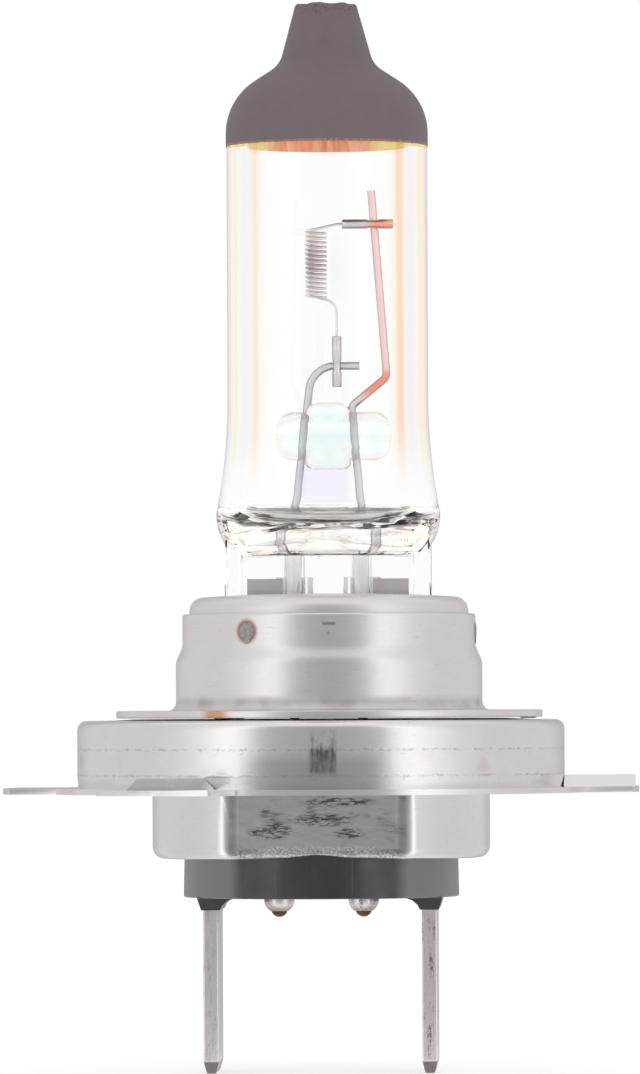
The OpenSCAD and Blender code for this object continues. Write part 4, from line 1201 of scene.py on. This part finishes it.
class BULB_OT_filament(bpy.types.Operator):
    """Tungsten coil with its two legs"""
    bl_idname = "bulb.filament"
    bl_label = "Filament"

    def execute(self, context):
        """Builds the filament as one wire"""
        sizes, finishes = context.scene.bulb_burner, context.scene.bulb_finishes
        steps = 28
        r, turns = sizes.coil_radius, sizes.coil_turns
        top = sizes.light_height + sizes.coil_length / 2 - sizes.filament_radius
        rise = sizes.coil_length - 2 * sizes.filament_radius
        centre = Vector((BURNER - sizes.coil_offset, 0, 0))
        coil = []
        for i in range(steps * turns + 1):
            turn = -pi / 2 - 2 * pi * i / steps
            height = top - rise * i / (steps * turns)
            coil.append(centre + Vector((r * cos(turn), r * sin(turn), height)))
        y = crimp_depth()
        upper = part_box("upper_crimp_tube")
        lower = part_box("lower_crimp_tube")
        upper_z = (upper[0].z + upper[1].z) / 2
        leg = (lower[0].x + lower[1].x) / 2
        first = rounded([(upper[0].x + MM, y, upper_z), (upper[0].x - 0.25 * MM, y, upper_z),
                         coil[0] + Vector((0.1 * MM, 0, 0.02 * MM))], [0.4 * MM])
        last = rounded([coil[-1] + Vector((0.1 * MM, 0, 0)), (leg, y, coil[-1].z - 0.15 * MM),
                        (leg, y, lower[0].z + MM)], [0.75 * MM], 10)
        filament = wire("filament", first[:-1] + coil[1:-1] + last, sizes.filament_radius, 4)
        settle(filament, "tungsten", "filament", materials=[tungsten_wire(finishes)])
        return {"FINISHED"}


def crimp(name, sizes, start, along, waist):
    """Crimp tube with a bore, squeezed flat at its waist"""
    r, bore = sizes.crimp_radius, sizes.filament_radius + 0.02 * MM
    long = sizes.crimp_length
    pinch, half, edge = 0.05 * MM, 0.38 * MM, 0.03 * MM
    outline = ([(bore, 0), (r - edge, 0), (r, edge), (r, waist - half), (r - pinch, waist - half / 2),
                (r - pinch, waist + half / 2), (r, waist + half), (r, long - edge), (r - edge, long),
                (bore, long)])
    out = Z if along is X else X
    return turned(name, outline, start, along, out, 40, loop=True, smooth=50)


class BULB_OT_leads(bpy.types.Operator):
    """Support leads and the crimp tubes that hold the filament on them"""
    bl_idname = "bulb.leads"
    bl_label = "Leads and Crimp Tubes"

    def execute(self, context):
        """Builds two leads and two crimp tubes"""
        sizes, finishes = context.scene.bulb_burner, context.scene.bulb_finishes
        y = crimp_depth()
        foot = 9.7 * MM
        place, bend = sizes.lead_place, context.scene.bulb_capsule.floor_height + 0.5 * MM
        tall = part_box("long_lead")
        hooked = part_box("short_lead")
        outer = tall[1].x - sizes.lead_radius - 0.1 * MM
        hook = hooked[1].z - sizes.lead_radius
        knee = hook - 0.6 * MM
        upper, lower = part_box("upper_crimp_tube"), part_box("lower_crimp_tube")
        upper_z = (upper[0].z + upper[1].z) / 2
        long_path = rounded([(outer - 0.7 * MM, 0, tall[1].z), (outer + 0.1 * MM, 0, knee),
                             (BURNER + 1.25 * MM, 0, sizes.bridge_height + 1.61 * MM),
                             (BURNER + place, 0, bend), (BURNER + place, 0, foot)],
                            [0.5 * MM] * 3)
        short_path = rounded([(hooked[1].x, 0, hook), (BURNER - 0.85 * MM, 0, hook),
                              (BURNER - place, 0, bend), (BURNER - place, 0, foot)],
                             [1.4 * MM, 0.5 * MM], 10)
        long_lead = wire("long_lead", long_path, sizes.lead_radius)
        settle(long_lead, "molybdenum", "long_lead",
               materials=[lead_metal(finishes, "blushed_lead", 0.85, [(20.3, 21.6)])])
        short_lead = wire("short_lead", short_path, sizes.lead_radius)
        grey_lead = lead_metal(finishes, "grey_lead", 0.0)
        settle(short_lead, "molybdenum", "short_lead", materials=[grey_lead])
        cross = outer - upper[0].x - 0.62 * MM
        top = crimp("upper_crimp_tube", sizes, (upper[0].x, y, upper_z), X, cross)
        settle(top, "molybdenum", "upper_crimp_tube", materials=[self.tinted(finishes)])
        low = crimp("lower_crimp_tube", sizes, ((lower[0].x + lower[1].x) / 2, y, lower[0].z), Z,
                    hook - lower[0].z)
        settle(low, "molybdenum", "lower_crimp_tube", materials=[grey_lead])
        return {"FINISHED"}

    def tinted(self, finishes):
        """Crimp metal that turns orange-red towards the wall"""
        material, tree, place, shader = new_material("crimp_metal")
        grain = tree.noise(place, 4.0, 3.0, 0.6)
        along = tree.add("SeparateXYZ", {0: place}).outputs["X"]
        base = tree.mix(grain, full(finishes.molybdenum, 0.75), full(finishes.molybdenum))
        shade = tree.mix(tree.fade(along, 2.1, 3.0), base, (0.95, 0.38, 0.27, 1))
        # Painted shade: the crimp darkens towards its edges
        feed(tree, shader, color=with_painted_edge_shade(tree, shade), metal=1.0, rough=0.32)
        return material


class BULB_OT_bridge(bpy.types.Operator):
    """Glass bridge that spaces the leads: a cross rod with an upright barrel"""
    bl_idname = "bulb.bridge"
    bl_label = "Glass Bridge"

    def execute(self, context):
        """Builds the bridge"""
        sizes = context.scene.bulb_burner
        low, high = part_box("glass_bridge")
        r, half, soft = sizes.rod_radius, sizes.rod_length / 2, 0.95 * MM
        rod = ([(0, -half)] + arc((r - soft, soft - half), soft, -90, 0, 10)
               + arc((r - soft, half - soft), soft, 0, 90, 10) + [(0, half)])
        bridge = turned("glass_bridge", rod, ((low.x + high.x) / 2, 0, sizes.bridge_height), X, Z, 72)
        r, half, soft = sizes.barrel_radius, sizes.barrel_height / 2, 0.72 * MM
        dimple = 0.3 * MM
        barrel = ([(0, dimple - half), (0.45 * MM, 0.85 * dimple - half)]
                  + arc((r - 0.4 * MM, 0.4 * MM - half), 0.4 * MM, -110, 0, 10)
                  + arc((r - soft, half - soft), soft, 0, 95, 10)
                  + [(0.3 * MM, half - dimple / 2), (0, half - dimple / 2)])
        upright = turned("barrel", barrel, (BURNER, 0, sizes.bridge_height), steps=72)
        combine(bridge, upright, "UNION")
        bpy.ops.object.shade_smooth_by_angle(angle=radians(35))
        settle(bridge, "bead_glass", "glass_bridge", materials=[bridge_glass()])
        return {"FINISHED"}


# ---- Sleeves -------------------------------------------------------------------------------


def weld_spot(sizes, turn):
    """Middle of one collar weld, on the collar's face"""
    reach = (SLEEVE_HIGH.x - SLEEVE_LOW.x) / 2 + sizes.sheet + 0.07 * MM
    turn = turn - radians(2)
    return Vector((BURNER + reach * cos(turn), reach * sin(turn), sizes.weld_height))


class BULB_OT_clip(bpy.types.Operator):
    """Spring clip that holds the flat seal inside the sleeve"""
    bl_idname = "bulb.clip"
    bl_label = "Seal Clip"

    def execute(self, context):
        """Builds the clip's floor and four tongues"""
        sizes, seal = context.scene.bulb_sleeve, context.scene.bulb_seal
        burner, finishes = context.scene.bulb_burner, context.scene.bulb_finishes
        low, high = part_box("seal_clip")
        reach, sheet = (high.x - low.x) / 2, sizes.sheet
        slack = 0.1 * MM
        disc = turned("seal_clip", [(0, low.z), (reach, low.z), (reach, low.z + sheet),
                                    (0, low.z + sheet)], (BURNER, 0, 0), steps=96)
        deselect()
        bpy.ops.mesh.primitive_cube_add(size=1, location=(BURNER, 0, low.z))
        slot = bpy.context.active_object
        slot.scale = (seal.width + 2 * slack, seal.rib_depth + 2 * slack, 2 * MM)
        bpy.ops.object.transform_apply(location=True, rotation=True, scale=True)
        combine(disc, slot, "DIFFERENCE")
        start = burner.lead_place + seal.column + slack
        width = 1.9 * MM
        tongues = []
        for side in (-1, 1):
            for face in (-1, 1):
                y = face * seal.web / 2
                x = BURNER + side * (start + width / 2)
                bent = [(x - width / 2, y, low.z), (x - width / 2, y + face * sheet, low.z),
                        (x - width / 2, y + face * sheet, high.z - 0.2 * MM),
                        (x - width / 2, y + face * (sheet + 0.12 * MM), high.z),
                        (x - width / 2, y + face * 0.12 * MM, high.z),
                        (x - width / 2, y, high.z - 0.2 * MM)]
                tongues.append(drawn("tongue", bent, X * width))
        clip = joined("seal_clip", [disc] + tongues)
        softened(clip, 0.08 * MM, 3)
        settle(clip, "sleeve_metal", "seal_clip", materials=[clip_steel(finishes)])
        return {"FINISHED"}


class BULB_OT_sleeve(bpy.types.Operator):
    """Inner sleeve: a drawn cup with a slot for the flat seal"""
    bl_idname = "bulb.sleeve"
    bl_label = "Inner Sleeve"

    def execute(self, context):
        """Builds the inner sleeve"""
        sizes, seal = context.scene.bulb_sleeve, context.scene.bulb_seal
        low, high, sheet = SLEEVE_LOW.z, SLEEVE_HIGH.z, sizes.sheet
        reach, soft, crown = (SLEEVE_HIGH.x - SLEEVE_LOW.x) / 2, sizes.shoulder, sizes.crown
        edge = high - crown
        outside = [(reach, low)] + arc((reach - soft, edge - soft), soft, 0, 86, 10)
        outside += [(reach - 3 * MM, high - 0.02 * MM), (0, high)]
        inside = [(reach - sheet, low)] + arc((reach - soft, edge - soft), soft - sheet, 0, 86, 10)
        inside += [(reach - 3 * MM, high - sheet - 0.02 * MM), (0, high - sheet)]
        sleeve = turned("inner_sleeve", outside + inside[::-1], (BURNER, 0, 0), loop=True)
        slack = 0.12 * MM
        deselect()
        bpy.ops.mesh.primitive_cube_add(size=1, location=(BURNER, 0, high))
        slot = open_piece("slot")
        bpy.ops.transform.resize(value=(seal.width + 2 * slack, seal.rib_depth + 2 * slack, 2 * MM))
        close_piece()
        softened(slot, 0.25 * MM, 3)
        combine(sleeve, slot, "DIFFERENCE")
        softened(sleeve, 0.05 * MM, 2, 50)
        settle(sleeve, "sleeve_metal", "inner_sleeve",
               materials=[sleeve_steel(context.scene.bulb_finishes)])
        return {"FINISHED"}


class BULB_OT_collar(bpy.types.Operator):
    """Outer collar with its step and flange, and the welds that hold it"""
    bl_idname = "bulb.collar"
    bl_label = "Collar and Welds"

    def execute(self, context):
        """Builds the collar, its three welds and the flange welds"""
        sizes, finishes = context.scene.bulb_sleeve, context.scene.bulb_finishes
        sheet = sizes.sheet
        inside_r = (SLEEVE_HIGH.x - SLEEVE_LOW.x) / 2 + 0.07 * MM
        low_r = inside_r + sheet + sizes.step
        outside, inside = self.face(sizes, low_r, 0), self.face(sizes, low_r, sheet)
        lip = arc((inside_r + sheet / 2, COLLAR_HIGH.z - sheet / 2), sheet / 2, 0, 180, 8)
        collar = turned("sleeve_collar", outside + lip + inside[::-1], (BURNER, 0, 0), steps=144,
                        loop=True)
        settle(collar, "sleeve_metal", "sleeve_collar", materials=[collar_steel(finishes, sizes)])
        self.side_welds(sizes)
        self.flange_welds()
        return {"FINISHED"}

    def face(self, sizes, low_r, inset):
        """One face of the collar's wall, from the flange's edge to the lip"""
        reach = COLLAR_HIGH.x - BURNER
        flange = COLLAR_LOW.z + sizes.sheet - inset * 1.3
        foot, soft = sizes.foot_radius, 0.06 * MM
        centre = (low_r + foot, COLLAR_LOW.z + sizes.sheet + foot)
        if inset:
            edge = arc((reach - soft, flange + soft), soft, 0, -90, 4)
        else:
            edge = arc((reach - soft, flange - soft), soft, 0, 90, 4)
        points = edge + arc(centre, foot + inset, 270, 180, 10)
        for i in range(13):
            share = i / 12
            step = sizes.step * (1 - cos(pi * share)) / 2
            height = sizes.step_height - sizes.step_half + 2 * sizes.step_half * share
            points.append((low_r - inset - step, height))
        return points

    def side_welds(self, sizes):
        """Three weld buttons, each a ring round a shallow dome, with a small run below"""
        r, proud = sizes.weld_radius, 0.05 * MM
        made = []
        for turn in LUG_ANGLES:
            spot = weld_spot(sizes, turn)
            out = Vector((spot.x - BURNER, spot.y, 0)).normalized()
            outline = [(0, proud * 0.9), (r * 0.3, proud * 0.75), (r * 0.55, proud * 0.2),
                       (r * 0.72, proud * 0.35), (r * 0.86, proud), (r, proud * 0.6),
                       (r * 1.08, 0), (r * 1.08, -sizes.sheet), (0, -sizes.sheet)]
            made.append(turned("weld", outline, spot, out, Z, 40, smooth=60))
            run = [(0, -0.02 * MM), (r * 0.42, 0), (r * 0.5, proud * 0.4), (r * 0.3, proud * 0.9),
                   (0, proud)]
            drop = spot - Z * r * 0.98
            made.append(turned("run", run, drop, out, Z, 24, smooth=60))
        welds = joined("sleeve_welds", made)
        settle(welds, "weld", "sleeve_welds", materials=[weld_metal()])

    def flange_welds(self):
        """Three flat spots between the flange and the ring"""
        low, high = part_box("flange_welds")
        r = 0.45 * MM
        reach = high.x - r - BURNER
        made = []
        for turn in LUG_ANGLES:
            spot = Vector((BURNER + reach * cos(turn), reach * sin(turn), low.z))
            outline = [(0, 0), (r * 0.85, 0), (r, 0.04 * MM), (r, high.z - low.z), (0, high.z - low.z)]
            made.append(turned("spot", outline, spot, Z, X, 24))
        spots = joined("flange_welds", made)
        settle(spots, "weld", "flange_welds", materials=[bpy.data.materials["weld_metal"]])


# ---- Base ----------------------------------------------------------------------------------


class BULB_OT_ring(bpy.types.Operator):
    """Prefocus ring: a drawn cap with a slightly crowned top"""
    bl_idname = "bulb.ring"
    bl_label = "Prefocus Ring"

    def execute(self, context):
        """Builds the ring"""
        sizes, finishes = context.scene.bulb_base, context.scene.bulb_finishes
        reach, high, low = RING_HIGH.x, RING_HIGH.z, RING_LOW.z
        soft, sheet, crown = sizes.ring_round, sizes.ring_sheet, sizes.ring_crown
        hole, top = 7.88 * MM, high - crown
        knee = (reach - soft, top - soft)
        outside = ([(reach - 0.05 * MM, low), (reach, 0.1 * MM), (reach, 1.2 * MM)]
                   + arc(knee, soft, 0, 84, 12)
                   + [(reach - 1.6 * MM, high - 0.06 * MM), (reach - 3 * MM, high), (hole, high)])
        inside = ([(reach - 0.05 * MM - sheet, low), (reach - sheet, 0.1 * MM)]
                  + arc(knee, soft - sheet, 0, 84, 8)
                  + [(reach - 3 * MM, high - sheet), (hole, high - sheet)])
        ring = turned("prefocus_ring", outside + inside[::-1], steps=192, loop=True, smooth=30)
        settle(ring, "base_metal", "prefocus_ring", materials=[ring_steel(finishes)])
        return {"FINISHED"}


def slab(name, low, high):
    """Box between two corners"""
    low, high = Vector(low), Vector(high)
    deselect()
    bpy.ops.mesh.primitive_cube_add(size=1, location=(low + high) / 2)
    piece = open_piece(name)
    bpy.ops.transform.resize(value=high - low)
    close_piece()
    return piece


class BULB_OT_plate(bpy.types.Operator):
    """Lug plate: rim, three lugs with bosses, the location tab and the flatted skirt"""
    bl_idname = "bulb.plate"
    bl_label = "Lug Plate"

    def execute(self, context):
        """Builds the plate with its skirt"""
        sizes, finishes = context.scene.bulb_base, context.scene.bulb_finishes
        top, sheet = RING_LOW.z, sizes.plate_sheet
        low, reach = top - sheet, PLATE_HIGH.x
        plate = turned("lug_plate", [(0, low), (RING_HIGH.x + sizes.rim, low),
                                     (RING_HIGH.x + sizes.rim, top), (0, top)], steps=144)
        arms = [slab("lug", (0, -sizes.lug_width / 2, low), (reach + MM, sizes.lug_width / 2, top))]
        arms += [turned_copy(arms[0], turn) for turn in LUG_ANGLES[1:]]
        half = sizes.tab_width / 2
        arms.append(slab("tab", (-reach - MM, -half, low), (0, half, top)))
        for arm in arms:
            combine(plate, arm, "UNION")
        circle = turned("reach", [(0, low - MM), (reach, low - MM), (reach, top + MM), (0, top + MM)],
                        steps=192)
        combine(plate, circle, "INTERSECT")
        start, end = RING_HIGH.x - 0.02 * MM, reach - 0.2 * MM
        for turn in LUG_ANGLES:
            combine(plate, self.boss(sizes, turn, 0, start, end), "UNION")
        for turn in LUG_ANGLES:
            hollow = self.boss(sizes, turn, sheet, start + sheet, end - 2 * sheet)
            combine(plate, hollow, "DIFFERENCE")
        combine(plate, self.skirt(sizes, low, 0), "UNION")
        combine(plate, self.skirt(sizes, top, sheet), "DIFFERENCE")
        hole, below, above = sizes.drum_radius + 0.05 * MM, PLATE_LOW.z - MM, PLATE_LOW.z + MM
        mouth = turned("mouth", [(0, below), (hole, below), (hole, above), (0, above)], steps=128)
        combine(plate, mouth, "DIFFERENCE")
        softened(plate, 0.06 * MM, 2, 40)
        settle(plate, "base_metal", "lug_plate", materials=[plate_steel(finishes), end_steel(finishes)])
        # The bosses' closed end faces get the painted grey shade
        for face in plate.data.polygons:
            ahead = face.center.xy.normalized().dot(face.normal.xy)
            if ahead > 0.97 and abs(face.center.xy.length - end) < 0.08 * MM:
                face.material_index = 1
        return {"FINISHED"}

    def boss(self, sizes, turn, inset, start, end):
        """Pressed boss along a lug, or the space below it when inset is the sheet"""
        flank, face = inset * 0.45, RING_LOW.z
        foot, top = sizes.boss_foot / 2 - flank, sizes.boss_top / 2 - flank
        low = face - sizes.plate_sheet - (0.1 * MM if inset else 0)
        outline = [(start, -foot, low), (start, -foot, face - inset), (start, -top, -inset),
                   (start, top, -inset), (start, foot, face - inset), (start, foot, low)]
        boss = drawn("boss", outline, X * (end - start))
        boss.data.transform(Matrix.Rotation(turn, 4, "Z"))
        return boss

    def skirt(self, sizes, top, inset):
        """Body of the skirt, or the space inside it when inset is the sheet"""
        reach, flat = sizes.skirt_radius - inset, sizes.skirt_flat - inset
        low, high = PLATE_LOW.z + inset, top + (0.2 * MM if inset else 0.15 * MM)
        skirt = turned("skirt", [(0, low), (reach, low), (reach, high), (0, high)], steps=160)
        bpy.ops.object.mode_set(mode="EDIT")
        for side in (-1, 1):
            bpy.ops.mesh.select_all(action="SELECT")
            bpy.ops.mesh.bisect(plane_co=(0, side * flat, 0), plane_no=(0, side, 0), use_fill=True,
                                clear_outer=True)
        pick(skirt, "edges", lambda e: all(abs(abs(v.co.y) - flat) < MM / 100 for v in e.verts)
             and abs(e.verts[0].co.z - e.verts[1].co.z) > MM)
        bpy.ops.mesh.bevel(offset=sizes.skirt_corner - inset * 0.6, segments=7)
        pick(skirt, "edges", lambda e: all(v.co.z < low + MM / 100 for v in e.verts)
             and any(abs(f.normal.z) < 0.1 for f in e.link_faces))
        bpy.ops.mesh.bevel(offset=sizes.skirt_round - inset / 2, segments=7)
        bpy.ops.mesh.select_all(action="SELECT")
        bpy.ops.mesh.normals_make_consistent(inside=False)
        close_piece()
        return skirt


class BULB_OT_insulator(bpy.types.Operator):
    """Moulded insulator with a tapered root round each blade"""
    bl_idname = "bulb.insulator"
    bl_label = "Insulator"

    def execute(self, context):
        """Builds the drum, its upper body and the roots"""
        sizes, contacts = context.scene.bulb_base, context.scene.bulb_contacts
        low, r = PLATE_LOW.z - sizes.drum_drop, sizes.drum_radius
        mouth, soft, upper = PLATE_LOW.z + sizes.plate_sheet, 0.12 * MM, 6.9 * MM
        drum = ([(0, low)] + arc((r - soft, low + soft), soft, -90, 0, 5)
                + [(r - 0.05 * MM, mouth), (upper, mouth), (upper, BASE_HIGH.z), (0, BASE_HIGH.z)])
        body = turned("insulator", drum, steps=144)
        root = self.root(contacts, low)
        for piece in (root, turned_copy(root, pi)):
            combine(body, piece, "UNION")
        bpy.ops.object.shade_smooth_by_angle(angle=radians(35))
        settle(body, "insulator", "insulator", materials=[slate_plastic(context.scene.bulb_finishes)])
        return {"FINISHED"}

    def root(self, contacts, low):
        """Root of the right blade: a flare that runs out along the drum's face"""
        x, depth = contacts.blade_place, contacts.blade_width / 2 + 0.35 * MM
        outer, inner, drop = contacts.root_outside, contacts.root_inside, contacts.root_drop
        slim = contacts.blade_thickness / 2 + 0.1 * MM
        outline = [(x + outer, -depth, low + 0.1 * MM), (x + outer, -depth, low - 0.04 * MM),
                   (x + slim + 0.04 * MM, -depth, low - drop * 0.8), (x + slim, -depth, low - drop),
                   (x - slim, -depth, low - drop), (x - slim - 0.12 * MM, -depth, low - drop * 0.62),
                   (x - slim - 0.38 * MM, -depth, low - drop * 0.25),
                   (x - inner, -depth, low - 0.03 * MM), (x - inner, -depth, low + 0.1 * MM)]
        root = drawn("root", outline, Y * 2 * depth)
        bpy.ops.object.mode_set(mode="EDIT")
        pick(root, "verts", lambda v: v.co.z < low - drop * 0.5)
        bpy.ops.transform.resize(value=(1, 0.93, 1), center_override=(x, 0, low))
        close_piece()
        return root


# ---- Contacts ------------------------------------------------------------------------------


class BULB_OT_contacts(bpy.types.Operator):
    """Two contact blades with their weld cups and beads"""
    bl_idname = "bulb.contacts"
    bl_label = "Contacts"

    def execute(self, context):
        """Builds both contacts and the beads in their cups"""
        sizes, finishes = context.scene.bulb_contacts, context.scene.bulb_finishes
        face = PLATE_LOW.z - context.scene.bulb_base.drum_drop
        metal = blade_nickel(finishes)
        right = self.contact(sizes, face)
        left = turned_copy(right, pi)
        settle(right, "contact_metal", "contact_right", materials=[metal])
        left.name = left.data.name = "contact_left"
        settle(left, "contact_metal", "contact_left", materials=[metal])
        beads = []
        for side in (-1, 1):
            r, z = 0.42 * MM, face - sizes.cup_drop
            outline = [(0, z + 0.4 * MM), (r, z + 0.4 * MM), (r, z + 0.02 * MM)]
            outline += arc((0, z + 0.22 * MM), 0.46 * MM, -26, -90, 8)
            beads.append(turned("bead", outline, (side * sizes.cup_place, 0, 0), steps=40, smooth=60))
        joined("lead_welds", beads)
        settle(beads[0], "lead_bead", "lead_welds", materials=[bead_metal(finishes)])
        return {"FINISHED"}

    def contact(self, sizes, face):
        """Right contact: blade with its bevelled point, foot and weld cup"""
        x, t, y = sizes.blade_place, sizes.blade_thickness / 2, sizes.blade_width / 2
        top, low = face + 1.8 * MM, face - sizes.blade_length
        blade = slab("contact_right", (x - t, -y, low), (x + t, y, top))
        bpy.ops.object.mode_set(mode="EDIT")
        bpy.ops.mesh.select_all(action="SELECT")
        bpy.ops.mesh.bisect(plane_co=(0, 0, low + sizes.point), plane_no=Z)
        pick(blade, "verts", lambda v: v.co.z < low + MM / 10)
        bpy.ops.transform.resize(value=(0.62, 0.82, 1), center_override=(x, 0, low))
        close_piece()
        softened(blade, 0.07 * MM, 3, 30)
        foot = slab("foot", (sizes.cup_place - 1.05 * MM, -1.6 * MM, top - 2 * t), (x, 1.6 * MM, top))
        softened(foot, 0.08 * MM, 2)
        cup = self.cup(sizes, face, top)
        return joined("contact_right", [blade, foot, cup])

    def cup(self, sizes, face, top):
        """Drawn cup, open at its lower end, with a rolled mouth"""
        r, mouth, soft = sizes.cup_radius, face - sizes.cup_drop, 0.68 * MM
        outline = ([(0, top - 0.5 * MM), (r, top - 0.5 * MM)]
                   + arc((r - soft, mouth + soft), soft, 0, -68, 8)
                   + [(0.41 * MM, mouth + 0.05 * MM), (0.4 * MM, mouth + 0.3 * MM),
                      (0, mouth + 0.3 * MM)])
        return turned("cup", outline, (sizes.cup_place, 0, 0), steps=56, smooth=50)


class BULB_OT_hidden_metal(bpy.types.Operator):
    """Finish of the foils and outer leads, which keep the frame's shapes"""
    bl_idname = "bulb.hidden_metal"
    bl_label = "Foils and Outer Leads"

    def execute(self, context):
        """Gives the frame's foils and outer leads their metal"""
        metal = bpy.data.materials["grey_lead"]
        for name in ("foil_left", "foil_right", "outer_lead_left", "outer_lead_right"):
            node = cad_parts[name]
            node.data.materials.clear()
            node.data.materials.append(metal)
        return {"FINISHED"}


# ---- Stage ---------------------------------------------------------------------------------


class BULB_OT_stage(bpy.types.Operator):
    """Pale floor, soft studio light and the camera"""
    bl_idname = "bulb.stage"
    bl_label = "Stage"

    def execute(self, context):
        """Builds the floor, the light and the camera"""
        stage = context.scene.bulb_stage
        self.floor(stage)
        self.light(context.scene)
        self.lamps()
        self.camera(context.scene, stage)
        context.scene.view_settings.view_transform = "Standard"
        context.scene.cycles.max_bounces = 24
        context.scene.cycles.glossy_bounces = 20
        context.scene.cycles.transmission_bounces = 24
        return {"FINISHED"}

    def floor(self, stage):
        """Pale floor just below the blade tips"""
        deselect()
        bpy.ops.mesh.primitive_plane_add(size=stage.floor, location=(0, 0, CAD_BOX[0][2] - 0.02 * MM))
        floor = open_piece("floor")
        bpy.ops.mesh.subdivide(number_cuts=4)
        close_piece()
        material = bpy.data.materials.new("pale_floor")
        material.use_nodes = True
        material.node_tree.nodes.clear()
        tree = Tree(material.node_tree)
        glow = tree.add("Emission", {"Color": (1, 1, 1, 1), "Strength": 0.74})
        matt = tree.add("BsdfDiffuse", {"Color": (0.3, 0.3, 0.3, 1)})
        both = tree.add("AddShader", {0: glow.outputs[0], 1: matt.outputs[0]})
        seen = placed(tree, studio_glow(), Way=tree.add("TexCoord").outputs["Object"])["Glow"]
        studio = tree.add("Emission", {"Color": seen, "Strength": 1.0})
        choice = tree.add("MixShader", {0: bare_glossy(tree), 1: both.outputs[0],
                                        2: studio.outputs[0]})
        tree.add("OutputMaterial", {"Surface": choice.outputs[0]})
        floor.data.materials.append(material)

    def light(self, scene):
        """White surround, in which shiny things see a grey gap at the front and two bright sides"""
        world = bpy.data.worlds.new("studio")
        scene.world = world
        world.use_nodes = True
        world.node_tree.nodes.clear()
        tree = Tree(world.node_tree)
        way = tree.add("TexCoord").outputs["Generated"]
        seen = placed(tree, studio_glow(), Way=way)["Glow"]
        plain = tree.add("Background", {"Color": (1, 1, 1, 1), "Strength": 1.0})
        studio = tree.add("Background", {"Color": seen, "Strength": 1.0})
        both = tree.add("MixShader", {0: bare_glossy(tree), 1: plain.outputs[0],
                                      2: studio.outputs[0]})
        tree.add("OutputWorld", {"Surface": both.outputs[0]})

    def lamps(self):
        """Two soft lamps, one on either side of the camera"""
        for side, power in ((-1, 0.12), (1, 0.16)):
            place = Vector((side * 0.35, -0.35, 0.2))
            bpy.ops.object.light_add(type="AREA", location=place)
            lamp = bpy.context.active_object
            lamp.name = "lamp_left" if side < 0 else "lamp_right"
            lamp.data.size = 0.25
            lamp.data.energy = power
            lamp.visible_glossy = False
            lamp.rotation_euler = (-place).to_track_quat("-Z", "Y").to_euler()

    def camera(self, scene, stage):
        """Long lens at the height of the ring, looking slightly up"""
        bpy.ops.object.camera_add()
        camera = bpy.context.active_object
        camera.data.lens = stage.lens
        camera.data.sensor_width = 36
        camera.data.clip_start = 0.01
        place = Vector((sin(stage.turn) * stage.distance, -cos(stage.turn) * stage.distance,
                        stage.height))
        look = (Vector((0, 0, stage.aim)) - place).to_track_quat("-Z", "Y").to_matrix().to_4x4()
        camera.matrix_world = Matrix.Translation(place) @ look @ Matrix.Rotation(-stage.roll, 4, "Z")
        scene.camera = camera


# ---- Panel and registration ----------------------------------------------------------------

STEPS = (BULB_OT_envelope, BULB_OT_coat, BULB_OT_filament, BULB_OT_leads, BULB_OT_bridge,
         BULB_OT_clip, BULB_OT_sleeve, BULB_OT_collar, BULB_OT_ring, BULB_OT_plate,
         BULB_OT_insulator, BULB_OT_contacts, BULB_OT_hidden_metal, BULB_OT_stage)

GROUPS = {"bulb_capsule": CapsuleSizes, "bulb_seal": SealSizes, "bulb_burner": BurnerSizes,
          "bulb_sleeve": SleeveSizes, "bulb_base": BaseSizes, "bulb_contacts": ContactSizes,
          "bulb_finishes": Finishes, "bulb_stage": StageSettings}


class BULB_PT_panel(bpy.types.Panel):
    """Lists the pieces of the bulb in the sidebar"""
    bl_idname = "BULB_PT_panel"
    bl_label = "Headlight Bulb"
    bl_space_type = "VIEW_3D"
    bl_region_type = "UI"
    bl_category = "Bulb"

    def draw(self, context):
        """Draws one button for each step"""
        for step in STEPS:
            self.layout.operator(step.bl_idname)


def register():
    """Registers the sizes, the steps and the panel"""
    for name, group in GROUPS.items():
        bpy.utils.register_class(group)
        setattr(bpy.types.Scene, name, PointerProperty(type=group))
    for step in STEPS + (BULB_PT_panel,):
        bpy.utils.register_class(step)


def unregister():
    """Removes the panel, the steps and the sizes"""
    for step in (BULB_PT_panel,) + STEPS[::-1]:
        bpy.utils.unregister_class(step)
    for name, group in GROUPS.items():
        delattr(bpy.types.Scene, name)
        bpy.utils.unregister_class(group)


def main():
    """Builds every piece and the stage"""
    register()
    for step in STEPS:
        family, name = step.bl_idname.split(".")
        getattr(getattr(bpy.ops, family), name)()


if __name__ == "__main__":
    main()
